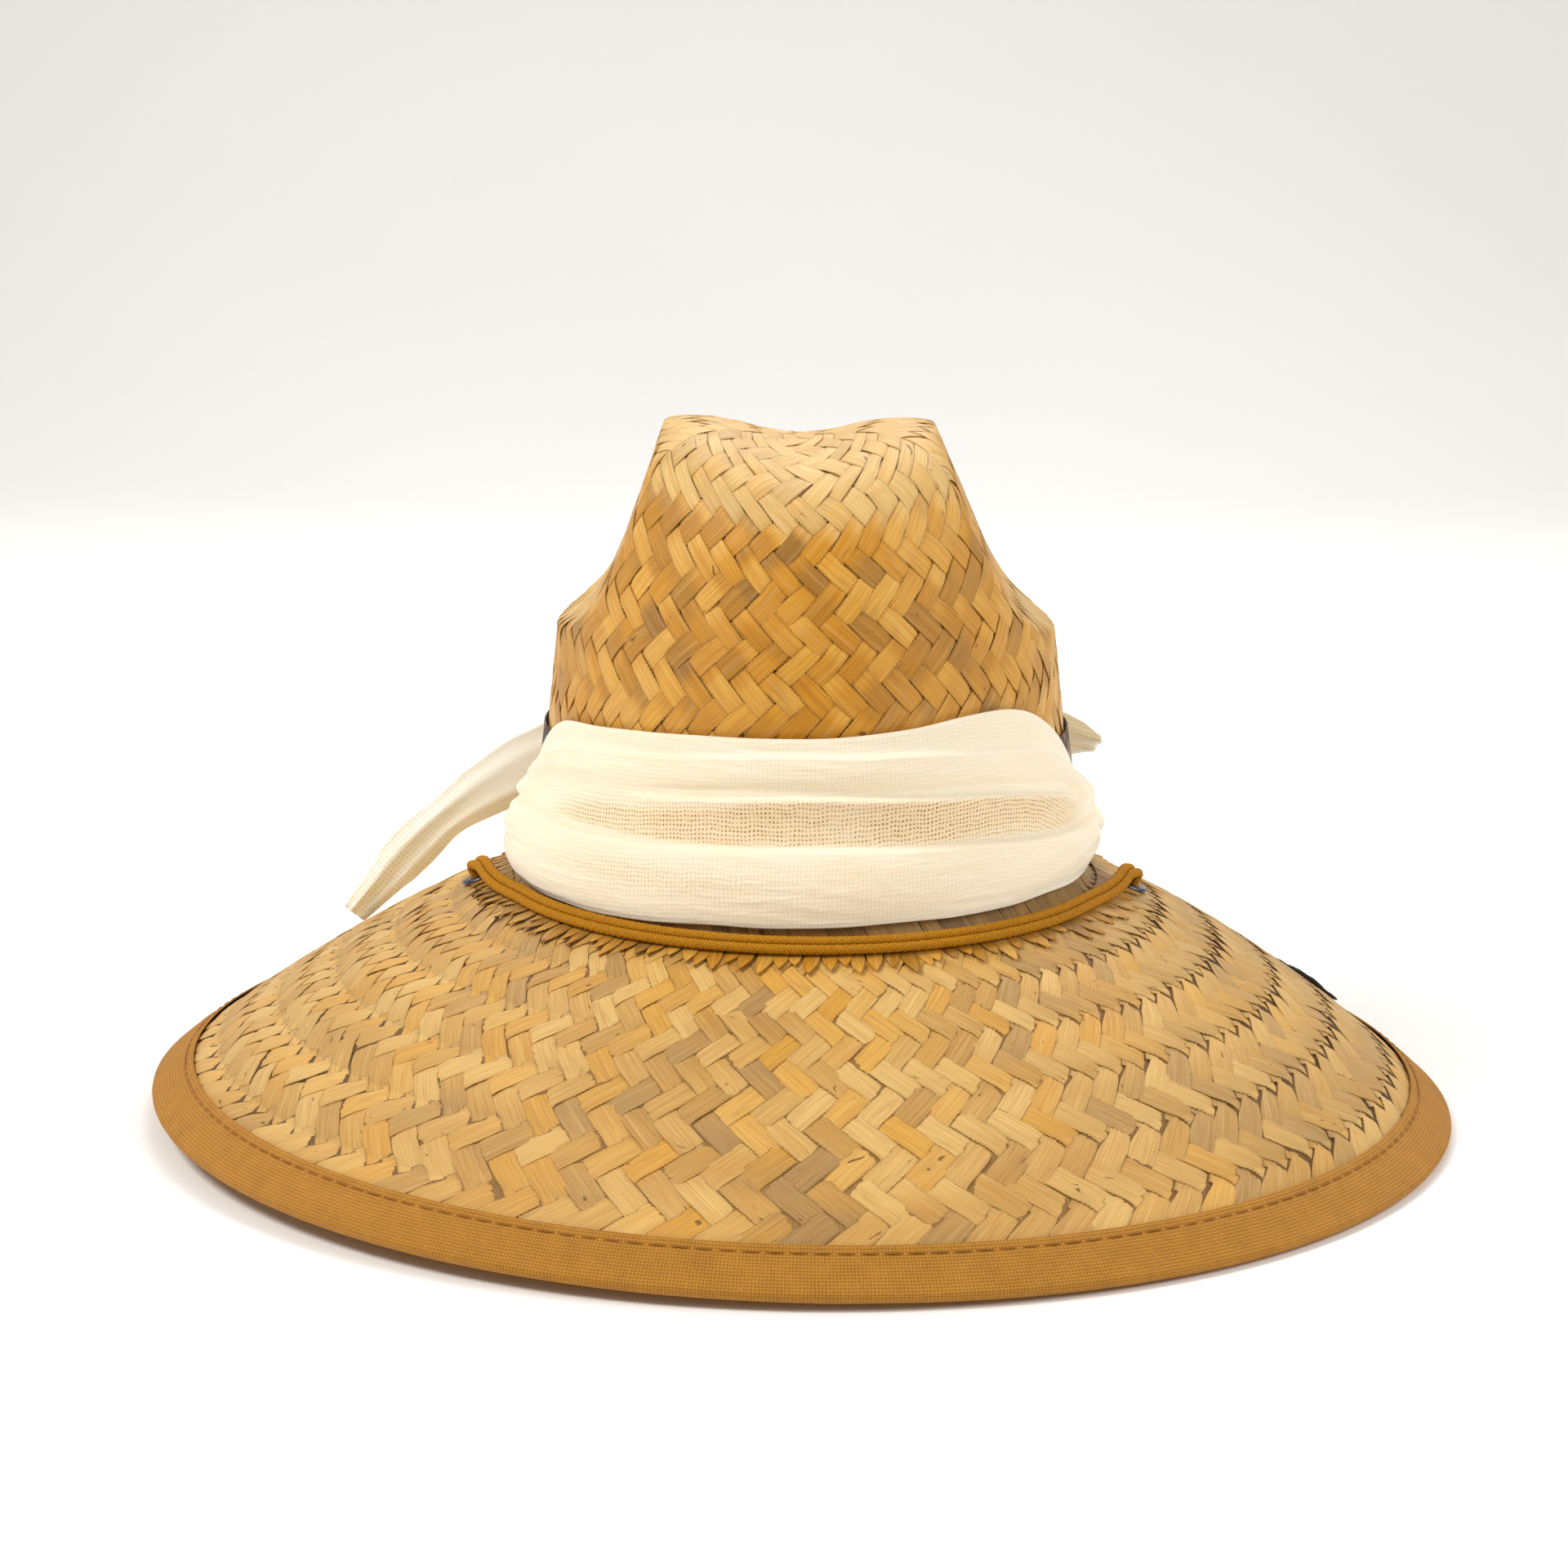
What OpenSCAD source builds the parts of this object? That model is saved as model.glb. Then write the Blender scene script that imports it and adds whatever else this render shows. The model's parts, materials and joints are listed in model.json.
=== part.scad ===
// Wide-brimmed woven straw sun hat with a pinched crown, a bound brim edge,
// a printed ribbon under a tied gauze scarf, and a corded chin strap.
// +Z is up, -Y is the front, and the origin is the centre of the head opening,
// in the plane where the crown meets the brim. Millimetres.

/* [Crown] */
// Half width of the crown at the head line, outside
base_hw = 90; // [86:0.5:94]
// Half length of the crown at the head line, outside
base_hl = 108; // [100:0.5:114]
// Height of the crown before its top is creased
crown_h = 145; // [138:1:152]
// Extra half width that flares out at the foot of the crown
flare_out = 12; // [10:0.5:14]
// Height over which the flare fades
flare_h = 38; // [34:1:42]
// Depth of the crease that runs front to back along the top
crease_depth = 6.5; // [4:0.5:10]
// Half width of that crease
crease_hw = 23; // [16:0.5:26]
// Height of the shoulders, where the side pinches start
shoulder_h = 80; // [76:1:84]
// Half width across the top of the pinch
pinch_hw = 41; // [39:0.5:45]
// Even taper of each side's pinch from the shoulder to the top
pinch_taper = 25; // [22:0.5:28]
// Sharp inward step of each side's pinch just above the shoulder
pinch_step = 10.5; // [8:0.5:13]
// Fall of the crown top at its front edge
front_fall = 12.5; // [8:0.5:16]
// Fall of the crown top at its back edge
back_fall = 27; // [20:0.5:30]
// Sideways lean of the crown at its top, to the left
crown_lean = 3.5; // [0:0.5:5]

/* [Brim] */
// Half width of the brim
brim_hw = 205; // [200:1:212]
// Half length of the brim
brim_hl = 223; // [218:1:230]
// Fall of the brim at its sides
side_fall = 70.5; // [68:0.5:76]
// Share of that fall that a straight cone would have
cone_share = 0.63; // [0.58:0.01:0.7]
// Extra fall at the front and the back
end_fall = 1; // [0:0.5:3]
// Extra fall on the right, and the same rise on the left
lean = 3.3; // [0:0.1:4]

/* [Straw and cloth] */
// Thickness of the woven straw
straw_t = 2.2; // [1.6:0.1:3]
// Width of the binding tape on each face of the brim
tape_w = 15; // [13:0.5:16]
// Thickness of the binding tape
tape_t = 0.6; // [0.4:0.1:1]
// Height of the sweatband
sweat_h = 32; // [24:1:40]
// Height of the printed ribbon
ribbon_h = 41; // [36:1:42]
// Width of the scarf where it crosses the front
scarf_front = 58; // [54:1:60]
// Width of the scarf at the sides
scarf_side = 43; // [40:1:46]
// Width of the scarf where it is gathered at the back
scarf_back = 26; // [22:1:30]

/* [Chin cord] */
// Diameter of one strand of the cord
cord_d = 2.6; // [2.2:0.1:2.7]
// Distance of each eyelet from the middle of the hat
eyelet_x = 103; // [102:0.5:105]
// Radius of the hole through each eyelet
eyelet_r = 3.3; // [3.1:0.1:3.6]
// Length of the loop behind the eyelets
loop_l = 176; // [165:1:180]
// Diameter of the sliding bead
bead_d = 15; // [14:0.5:18]

/* [Hidden] */

straw = "#D8B06A";
tape = "#BE8A42";
thread = "#A9701F";
ribbon_brown = "#3A2C26";
gauze = "#F6F0E2";
cord_gold = "#C98B17";
gunmetal = "#6E6B78";

around = 72;             // facets round the hat
dome_n = 4.3;            // squareness of the crown across its width
dome_ny = 7;           // squareness of the crown along its length
wall_share = 0.6;        // part of the crown's rows that climb its wall
wall_top = 0.88;         // height share where the wall gives way to the roof
crown_rows = 16;
pinch_round = 3;         // rounding where each pinch meets the wall
roof_blend = 3;          // how quickly the creases fade down the wall
peak_y = -18;            // where the crown top is highest, front to back
top_hw = base_hw - flare_out;
top_hl = base_hl - flare_out;
seam_gap = 0.05;         // air between the crown and the brim it stands on
cloth_gap = 0.15;        // air between cloth and straw
ribbon_t = 0.65;
ribbon_gap = 0.3;         // air between ribbon and straw
ribbon_low = 6;          // height of the ribbon's lower edge
sweat_t = 1;
sweat_low = 1.5;
sweat_gap = 0.3;
scarf_t = 3;
scarf_low = 2.5;
scarf_back_low = 10;     // lower edge of the scarf at the back
stitch_r = 0.3;
flange_r = 6;
flange_t = 0.7;
barrel_t = 0.5;
strand_gap = 0.15;       // air between two strands

// ---------- small functions ----------

function shrink(g, n) = pow(max(0, 1 - pow(g, n)), 1 / n);
function mix(a, b, k) = a + (b - a) * k;
function clamp01(k) = min(1, max(0, k));
function ease(k) = let (c = clamp01(k)) c * c * (3 - 2 * c);
function unit(v) = v / norm(v);

// The smaller of a and b, with the corner between them rounded over k.
function soft_min(a, b, k) =
    let (h = clamp01(0.5 + 0.5 * (b - a) / k)) mix(b, a, h) - k * h * (1 - h);

// Half width that the side pinches leave at height z.
function pinch_at(z) =
    let (u = (z - shoulder_h) / (crown_h - shoulder_h))
    pinch_hw + pinch_taper * (1 - u) + pinch_step * exp(-u / 0.1);

// ---------- crown surface ----------

// Height share and the two width shares for row v, from the head line (0) to the top (1).
function crown_row(v) =
    v < wall_share
        ? let (g = wall_top * v / wall_share) [g, shrink(g, dome_n), shrink(g, dome_ny)]
        : let (f = shrink(wall_top, dome_n) * (1 - v) / (1 - wall_share), g = shrink(f, dome_n))
          [g, f, shrink(g, dome_ny)];

// Point of the crown at angle th and row [g, fx, fy], moved outward by off.
function crown_at(th, row, off) =
    let (
        z0 = row[0] * (crown_h + off),
        foot = flare_out * exp(-z0 / flare_h),
        x0 = ((top_hw + off) * row[1] + foot * row[1]) * cos(th),
        y = ((top_hl + off) * row[2] + foot * row[2]) * sin(th),
        x = sign(x0) * soft_min(abs(x0), pinch_at(z0) + off, pinch_round),
        crease = crease_depth * exp(-pow(x / crease_hw, 2)),
        run = (y - peak_y) / (y > peak_y ? top_hl - peak_y : top_hl + peak_y),
        fall = (y > peak_y ? back_fall : front_fall) * run * run,
        z = z0 - pow(row[0], roof_blend) * (crease + fall)
    ) [x - crown_lean * pow(row[0], roof_blend), y, z];

function crown_pt(th, v, off) = crown_at(th, crown_row(v), off);

// Point of the crown's lower wall at angle th and height z.
function wall_pt(th, z, off) =
    let (g = z / crown_h) crown_at(th, [g, shrink(g, dome_n), shrink(g, dome_ny)], off);

// ---------- brim surface ----------

// Point of the brim's upper face at angle th and share s of its width.
function brim_pt(th, s, up = 0, out = 0) = [
    (mix(base_hw, brim_hw, s) + out) * cos(th),
    (mix(base_hl, brim_hl, s) + out) * sin(th),
    up - side_fall * (cone_share * s + (1 - cone_share) * s * s)
       - s * s * (end_fall * pow(sin(th), 2) + lean * cos(th))];

function share_at(x) = (x - base_hw) / (brim_hw - base_hw);
function tape_share() = 1 - tape_w / (brim_hw - base_hw);

// Unit vector that stands square off the brim at angle th and share s.
function brim_normal(th, s) =
    let (a = brim_pt(th, s + 0.01) - brim_pt(th, s - 0.01),
         b = brim_pt(th + 1, s) - brim_pt(th - 1, s))
    unit(cross(a, b));

// ---------- skins over grids of points ----------

function flat_list(rows) = [for (r = rows) for (p = r) p];

// Faces between rows of n points each; the rows close on themselves if ring is true.
function band_faces(count, n, ring) = [
    for (i = [0 : count - (ring ? 1 : 2)]) for (j = [0 : n - 1])
        let (k = (i + 1) % count, m = (j + 1) % n,
             a = i * n + j, b = i * n + m, c = k * n + m, d = k * n + j)
        each [[a, b, c], [a, c, d]]];

// A solid whose section, a list of points, is swept round into a ring.
module ring_skin(sections) {
    n = len(sections[0]);
    polyhedron(flat_list(sections), band_faces(len(sections), n, true), convexity = 8);
}

// A solid tube through rows of points, closed flat at both ends.
module tube_skin(rows) {
    n = len(rows[0]);
    last = (len(rows) - 1) * n;
    polyhedron(flat_list(rows),
        concat(band_faces(len(rows), n, false),
            [[for (j = [n - 1 : -1 : 0]) j], [for (j = [0 : n - 1]) last + j]]),
        convexity = 8);
}

// Rings of points round a path, with radius r.
function tube_rows(path, r, sides = 8) = [
    for (i = [0 : len(path) - 1])
        let (
            a = path[max(0, i - 1)],
            b = path[min(len(path) - 1, i + 1)],
            t = unit(b - a),
            up = abs(t.z) > 0.9 ? [1, 0, 0] : [0, 0, 1],
            u = unit(cross(up, t)),
            w = cross(t, u)
        ) [for (j = [0 : sides - 1])
            path[i] + r * (cos(j * 360 / sides) * u - sin(j * 360 / sides) * w)]];

// A short straight thread between two points.
module thread_bit(a, b, r) {
    d = b - a;
    translate(a)
        rotate([0, acos(d.z / norm(d)), atan2(d.y, d.x)])
            cylinder(h = norm(d), r = r, $fn = 16);
}

function angles() = [for (j = [0 : around - 1]) j * 360 / around];

// ---------- woven straw ----------

// The crown is a cup, so its skin runs from the outer pole down and back up inside.
module straw_crown() {
    steps = [for (i = [1 : crown_rows]) 1 - i / crown_rows];
    outer = [for (v = steps) [for (th = angles()) crown_pt(th, v, 0)]];
    inner = [for (v = [for (i = [len(steps) - 1 : -1 : 0]) steps[i]])
        [for (th = angles()) crown_pt(th, v, -straw_t)]];
    rows = [for (r = concat(outer, inner)) [for (p = r) p + [0, 0, seam_gap]]];
    top = crown_pt(0, 1, 0) + [0, 0, seam_gap];
    under = crown_pt(0, 1, -straw_t) + [0, 0, seam_gap];
    first = 1;
    last = first + (len(rows) - 1) * around;
    end = last + around;
    body = [for (f = band_faces(len(rows), around, false)) [for (k = f) k + first]];
    fan_top = [for (j = [0 : around - 1]) [0, first + (j + 1) % around, first + j]];
    fan_under = [for (j = [0 : around - 1]) [end, last + j, last + (j + 1) % around]];
    color(straw)
        polyhedron(concat([top], flat_list(rows), [under]),
            concat(body, fan_top, fan_under), convexity = 8);
}

function brim_steps() =
    let (s = tape_share()) concat([for (k = [0 : 7]) s * k / 7], [mix(s, 1, 0.5), 1]);

module straw_brim() {
    landing = straw_t + seam_gap;
    color(straw) difference() {
        ring_skin([for (th = angles())
            let (edge = [(base_hw - landing) * cos(th), (base_hl - landing) * sin(th), 0])
            concat(
                [edge],
                [for (s = brim_steps()) brim_pt(th, s)],
                [for (s = [for (k = [len(brim_steps()) - 1 : -1 : 0]) brim_steps()[k]])
                    brim_pt(th, s, -straw_t)],
                [edge - [0, 0, straw_t]])]);
        for (side = [-1, 1])
            at_eyelet(side)
                cylinder(h = 20, r = eyelet_r + barrel_t + seam_gap, center = true, $fn = 48);
    }
}

// ---------- binding ----------

module brim_binding() {
    s0 = tape_share();
    s1 = mix(s0, 1, 0.5);
    gap = cloth_gap;
    color(tape) ring_skin([for (th = angles()) concat(
        [for (s = [s0, s1, 1]) brim_pt(th, s, gap + tape_t)],
        [brim_pt(th, 1, -straw_t / 2, gap + tape_t)],
        [for (s = [1, s1, s0]) brim_pt(th, s, -straw_t - gap - tape_t)],
        [for (s = [s0, s1, 1]) brim_pt(th, s, -straw_t - gap)],
        [brim_pt(th, 1, -straw_t / 2, gap)],
        [for (s = [1, s1, s0]) brim_pt(th, s, gap)])]);
}

// Running stitches through the tape, seen on both faces.
module binding_stitches() {
    count = 144;
    s = tape_share() + 0.025;
    lift = cloth_gap + tape_t + stitch_r + 0.4;
    color(thread)
        for (k = [0 : count - 1]) {
            a = k * 360 / count;
            b = (k + 0.74) * 360 / count;
            thread_bit(brim_pt(a, s, lift), brim_pt(b, s, lift), stitch_r);
            thread_bit(brim_pt(a, s, -straw_t - lift), brim_pt(b, s, -straw_t - lift), stitch_r);
        }
}

// ---------- sweatband ----------

module sweatband() {
    color("#D9C9A8") ring_skin([for (th = angles()) concat(
        [for (k = [0 : 3]) wall_pt(th, sweat_low + sweat_h * k / 3, -straw_t - sweat_gap)],
        [for (k = [3 : -1 : 0])
            wall_pt(th, sweat_low + sweat_h * k / 3, -straw_t - sweat_gap - sweat_t)])]);
}

module sweatband_stitches() {
    count = 90;
    in = -straw_t - sweat_gap - sweat_t - stitch_r - 0.2;
    color(thread)
        for (k = [0 : count - 1])
            thread_bit(wall_pt(k * 360 / count, sweat_low + 3, in),
                wall_pt((k + 0.7) * 360 / count, sweat_low + 3, in), stitch_r);
}

// ---------- ribbon ----------

module hat_band() {
    color(ribbon_brown) ring_skin([for (th = angles()) concat(
        [for (k = [4 : -1 : 0]) wall_pt(th, ribbon_low + ribbon_h * k / 4, ribbon_gap)],
        [for (k = [0 : 4]) wall_pt(th, ribbon_low + ribbon_h * k / 4, ribbon_gap + ribbon_t)])]);
}

// Short tacks that hold the ribbon's upper and lower edges to the straw.
module hat_band_tacks() {
    count = 8;
    out = ribbon_gap + ribbon_t + stitch_r + 0.1;
    color(thread)
        for (k = [0 : count - 1], z = [ribbon_low + 2, ribbon_low + ribbon_h - 2])
            thread_bit(wall_pt((k + 0.5) * 360 / count - 0.8, z, out),
                wall_pt((k + 0.5) * 360 / count + 0.8, z, out), stitch_r);
}

// ---------- scarf ----------

scarf_in = ribbon_gap + ribbon_t + 2 * stitch_r + 0.3;

// The scarf is widest across the front and is gathered towards its knot.
function gathered(th) = ease(1.6 * sin(th));
function scarf_foot(th) = mix(scarf_low, scarf_back_low, gathered(th));
function scarf_high(th) = mix(
    scarf_low + mix(scarf_side, scarf_front, pow(max(0, -sin(th)), 1.5)),
    scarf_back_low + scarf_back, gathered(th));

module scarf_wrap() {
    color(gauze) ring_skin([for (th = angles()) concat(
        [for (k = [4 : -1 : 0])
            wall_pt(th, mix(scarf_foot(th), scarf_high(th), k / 4), scarf_in)],
        [for (k = [0 : 4]) wall_pt(th, mix(scarf_foot(th), scarf_high(th), k / 4),
            scarf_in + scarf_t * (k == 0 || k == 4 ? 0.5 : 1))])]);
}

knot_z = 23;
knot_y = wall_pt(90, knot_z, scarf_in + scarf_t).y + 9;

module scarf_knot() {
    color(gauze)
        translate([0, knot_y, knot_z])
            scale([1.35, 0.8, 1.5])
                sphere(r = 10, $fn = 24);
}

// A cloth tail with a lens-shaped section. Each station holds its centre, its half
// width and the direction of that width.
module cloth_tail(stations, t) {
    tube_skin([for (i = [0 : len(stations) - 1])
        let (
            c = stations[i][0],
            a = stations[max(0, i - 1)][0],
            b = stations[min(len(stations) - 1, i + 1)][0],
            w = unit(stations[i][2]) * stations[i][1],
            n = unit(cross(unit(b - a), w)) * t / 2
        ) [c + w, c + w / 2 - n, c - w / 2 - n, c - w, c - w / 2 + n, c + w / 2 + n]]);
}

tail_x = 15;             // how far from the middle each tail leaves the knot
tail_t = 2.4;

// The long tail drops past the left side and comes to rest over the brim.
long_tail = [
    [[-tail_x, knot_y, knot_z + 1], 7, [0, 0, 1]],
    [[-40, knot_y - 7, knot_z + 1], 11, [0, 0.1, 1]],
    [[-68, knot_y - 25, knot_z - 2], 12, [-0.1, 0.1, 1]],
    [[-92, knot_y - 47, knot_z - 9], 11, [-0.25, 0.1, 1]],
    [[-110, knot_y - 55, knot_z - 14], 9, [-0.3, 0.1, 1]],
    [[-124, knot_y - 58, knot_z - 24], 8, [-0.55, 0.1, 0.9]],
    [[-136, knot_y - 60, knot_z - 37], 7.5, [-0.8, 0.1, 0.7]],
    [[-148, knot_y - 61, knot_z - 49], 5, [-0.9, 0.1, 0.7]]];

short_tail = [
    [[tail_x, knot_y, knot_z + 1], 7, [0, 0, 1]],
    [[40, knot_y - 7, knot_z + 5], 10, [0, 0.1, 1]],
    [[62, knot_y - 22, knot_z + 8], 10, [0.1, 0.1, 1]],
    [[80, knot_y - 41, knot_z + 8], 8, [0.2, 0.1, 1]],
    [[96, knot_y - 57, knot_z + 6], 4, [0.3, 0.1, 1]]];

module scarf_tail_long() { color(gauze) cloth_tail(long_tail, tail_t); }
module scarf_tail_short() { color(gauze) cloth_tail(short_tail, tail_t); }

// ---------- eyelets ----------

// Puts its children square on the brim at one eyelet, with z = 0 on the brim's upper face.
module at_eyelet(side) {
    th = side > 0 ? 0 : 180;
    s = share_at(eyelet_x);
    n = brim_normal(th, s);
    translate(brim_pt(th, s))
        rotate([0, atan2(n.x, n.z), 0])
            children();
}

module eyelet(side) {
    deep = straw_t * 0.9 + flange_t;
    color(gunmetal) at_eyelet(side) difference() {
        union() {
            translate([0, 0, 0.3]) cylinder(h = flange_t, r = flange_r, $fn = 64);
            translate([0, 0, -deep]) cylinder(h = deep + 0.5, r = eyelet_r + barrel_t, $fn = 64);
        }
        cylinder(h = 20, r = eyelet_r, center = true, $fn = 64);
    }
}

module eyelet_washer(side) {
    color(gunmetal) at_eyelet(side) translate([0, 0, -straw_t - 0.3 - flange_t]) difference() {
        cylinder(h = flange_t, r = flange_r, $fn = 64);
        translate([0, 0, -1])
            cylinder(h = flange_t + 2, r = eyelet_r + barrel_t + seam_gap, $fn = 64);
    }
}

module eyelet_left() { eyelet(-1); }
module eyelet_right() { eyelet(1); }
module eyelet_washer_left() { eyelet_washer(-1); }
module eyelet_washer_right() { eyelet_washer(1); }

// ---------- chin cord ----------

strand = (cord_d + strand_gap) / 2;       // strand centre from the middle of the pair
eye_z = brim_pt(0, share_at(eyelet_x)).z; // right eyelet
swing_z = eye_z - 10;                     // height of the axis that the loop swings on
arch_h = 5;                               // rise of the cord as it leaves each eyelet
rest_off = cord_d / 2 + 0.7;              // cord centre above the brim
rest_share = 0.05;                        // where the cord lies across the front

// Centre of the pair in front of the crown, k from 0 at the left eyelet to 1 at the right.
function front_path(k) =
    let (near = 1 - ease(sin(180 * k) * 2.2))
    brim_pt(mix(180, 360, k), mix(rest_share, share_at(eyelet_x), near),
        rest_off + arch_h * near * near);

// Points along an eyelet's axis, from below the brim to above it.
function eyelet_run(th, heights, shift) =
    let (
        s = share_at(eyelet_x),
        n = brim_normal(th, s),
        out = unit([n.z * cos(th), 0, -abs(n.x)])
    ) [for (h = heights) brim_pt(th, s) + h * n + shift * out];

// One strand of the pair: side is -1 for the inner and 1 for the outer.
function front_strand(side) =
    let (tail = [-7, -3, 0, 3.6])
    concat(
        eyelet_run(180, tail, side * strand),
        [for (i = [1 : 43]) let (k = i / 44, th = mix(180, 360, k))
            front_path(k) + side * strand * unit([cos(th), sin(th), -0.45])],
        eyelet_run(0, [for (i = [3 : -1 : 0]) tail[i]], side * strand));

module chin_cord_front() {
    color(cord_gold)
        for (side = [-1, 1])
            tube_skin(tube_rows(front_strand(side), cord_d / 2));
}

loop_fall = 50;          // how far the loop drops over its length
join_at = 62;            // where its two sides come together

// The loop runs straight back and down from its axis; d is the distance back.
function loop_z(d) = swing_z - loop_fall * d / loop_l;

function loop_path(side, layer) = [
    for (d = concat([for (i = [0 : 16]) join_at * i / 16], [loop_l]))
        [side * mix(eyelet_x, strand, ease(d / join_at)), d, loop_z(d) + layer * strand]];

module chin_cord_loop() {
    color(cord_gold)
        for (side = [-1, 1], layer = [-1, 1])
            tube_skin(tube_rows(loop_path(side, layer), cord_d / 2));
}

bead_at = join_at + 16;
bead_l = 14;
bead_r = 4.1;
knot_r = 4;

// Puts its children on the loop at distance d, with z along the cord.
module on_loop(d) {
    translate([0, d, loop_z(d)])
        rotate([atan2(-loop_fall, loop_l) - 90, 0, 0])
            children();
}

module cord_slider() {
    color("#8A5A2B") on_loop(bead_at)
        rotate_extrude($fn = 64)
            intersection() {
                circle(d = bead_d, $fn = 64);
                translate([bead_r, -bead_l / 2]) square([bead_d, bead_l]);
            }
}

module cord_end_knot() {
    color(cord_gold) on_loop(loop_l + knot_r + 0.3) sphere(r = knot_r, $fn = 32);
}

// ---------- patch ----------

patch_th = 24;           // angle of the patch on the brim
patch_s = [0.74, 0.865];   // its inner and outer edge
patch_span = 4.5;        // half its angle
patch_t = 1.2;
patch_lift = 1.1;        // the patch stands this far off the straw

module brim_patch() {
    lift = patch_lift;
    rows = [for (i = [0 : 6])
        let (th = patch_th + patch_span * (i / 3 - 1))
        concat([for (k = [0 : 3]) brim_pt(th, mix(patch_s[0], patch_s[1], k / 3), lift + patch_t)],
            [for (k = [3 : -1 : 0]) brim_pt(th, mix(patch_s[0], patch_s[1], k / 3), lift)])];
    color(ribbon_brown) tube_skin(rows);
}

module patch_stitches() {
    lift = patch_lift + patch_t + stitch_r + 0.15;
    color(thread)
        for (s = [patch_s[0] + 0.015, patch_s[1] - 0.015], k = [0 : 6])
            thread_bit(
                brim_pt(patch_th + patch_span * (k / 3.5 - 0.96), s, lift),
                brim_pt(patch_th + patch_span * (k / 3.5 - 0.78), s, lift), stitch_r);
}

straw_crown();
straw_brim();
brim_binding();
binding_stitches();
sweatband();
sweatband_stitches();
hat_band();
hat_band_tacks();
scarf_wrap();
scarf_knot();
scarf_tail_long();
scarf_tail_short();
eyelet_left();
eyelet_right();
eyelet_washer_left();
eyelet_washer_right();
chin_cord_front();
chin_cord_loop();
cord_slider();
cord_end_knot();
brim_patch();
patch_stitches();
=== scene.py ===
"""A wide-brimmed woven straw sun hat: pinched crown, sloping brim with a bound edge, a gauze scarf
tied over a printed ribbon, and a braided chin cord. Lengths are in millimetres until a mesh is made."""

import json
import math

import bpy
import numpy as np
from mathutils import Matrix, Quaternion, Vector


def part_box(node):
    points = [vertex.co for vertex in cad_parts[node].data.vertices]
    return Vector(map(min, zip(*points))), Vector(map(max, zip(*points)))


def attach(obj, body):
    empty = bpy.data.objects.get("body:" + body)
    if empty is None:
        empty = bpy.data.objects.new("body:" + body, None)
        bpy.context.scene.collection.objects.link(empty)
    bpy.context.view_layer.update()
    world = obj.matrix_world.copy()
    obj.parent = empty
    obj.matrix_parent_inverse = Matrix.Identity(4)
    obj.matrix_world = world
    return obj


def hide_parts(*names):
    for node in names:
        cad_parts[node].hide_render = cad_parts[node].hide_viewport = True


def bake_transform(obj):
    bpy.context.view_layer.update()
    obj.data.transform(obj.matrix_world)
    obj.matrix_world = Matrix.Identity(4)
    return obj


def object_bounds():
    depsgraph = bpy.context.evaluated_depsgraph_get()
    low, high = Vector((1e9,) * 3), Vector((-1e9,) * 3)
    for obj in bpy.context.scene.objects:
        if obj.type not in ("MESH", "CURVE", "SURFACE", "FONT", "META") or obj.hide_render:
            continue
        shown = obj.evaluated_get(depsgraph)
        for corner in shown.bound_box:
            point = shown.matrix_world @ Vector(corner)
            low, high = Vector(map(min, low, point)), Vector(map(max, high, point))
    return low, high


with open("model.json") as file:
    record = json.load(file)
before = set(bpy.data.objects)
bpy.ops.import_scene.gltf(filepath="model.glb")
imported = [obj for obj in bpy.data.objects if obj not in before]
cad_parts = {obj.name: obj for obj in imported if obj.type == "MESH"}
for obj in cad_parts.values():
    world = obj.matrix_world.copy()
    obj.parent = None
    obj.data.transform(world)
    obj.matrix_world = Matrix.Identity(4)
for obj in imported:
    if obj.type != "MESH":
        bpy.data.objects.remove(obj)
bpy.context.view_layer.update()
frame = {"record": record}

MM = 0.001
TAU = 2 * math.pi
FRONT = 1.5 * math.pi    # angle of the front of the hat; angles run from +X towards +Y


def size_of(node):
    """A CAD node's lowest and highest corners in millimetres."""
    lo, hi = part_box(node)
    return np.array(lo) / MM, np.array(hi) / MM


# ---------- sizes that come from the frame ----------

crown_lo, crown_hi = size_of("straw_crown")
brim_lo, brim_hi = size_of("straw_brim")
band_lo, band_hi = size_of("hat_band")
sweat_lo, sweat_hi = size_of("sweatband")
knot_lo, knot_hi = size_of("scarf_knot")
loop_lo, loop_hi = size_of("chin_cord_loop")
bead_lo, bead_hi = size_of("cord_slider")
end_lo, end_hi = size_of("cord_end_knot")
washer_lo, washer_hi = size_of("eyelet_washer_right")

BASE_HW = (crown_hi[0] - crown_lo[0]) / 2
BASE_HL = (crown_hi[1] - crown_lo[1]) / 2
BRIM_HW = (brim_hi[0] - brim_lo[0]) / 2
BRIM_HL = (brim_hi[1] - brim_lo[1]) / 2
SWING_Z = next(j for j in frame["record"]["behaviour"]["joints"]
               if j["name"] == "loop_swing")["pos_m"][2] / MM

# ---------- shape of the straw ----------

CROWN_H = 145            # height before the crease and the falls are taken off
FLARE_OUT = 12           # the foot's flare, and the height over which it fades
FLARE_H = 38
CREASE_DEPTH = 6.5       # crease along the top, and its half width
CREASE_HW = 23
SHOULDER_H = 80          # height at which the pinched sides begin
PINCH_HW = 41            # half width between the pinches at the top
PINCH_TAPER = 25         # what they widen by at the shoulder
PINCH_STEP = 10.5        # ledge at the shoulder
FRONT_FALL = 12.5        # the top falls this much to the front and to the back of its peak
BACK_FALL = 27
PEAK_Y = -18
CROWN_LEAN = 3.5         # the top leans to the left
SQUARE_X = 4.3           # squareness of the crown's outline across and along
SQUARE_Y = 7
WALL_SHARE = 0.6         # share of the crown map's rows that is wall, and the height share it reaches
WALL_TOP = 0.88
SIDE_FALL = 70.5         # fall of the brim's edge
CONE_SHARE = 0.63        # share of that fall that is a straight cone
END_FALL = 1             # what the brim falls more at front and back
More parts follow.
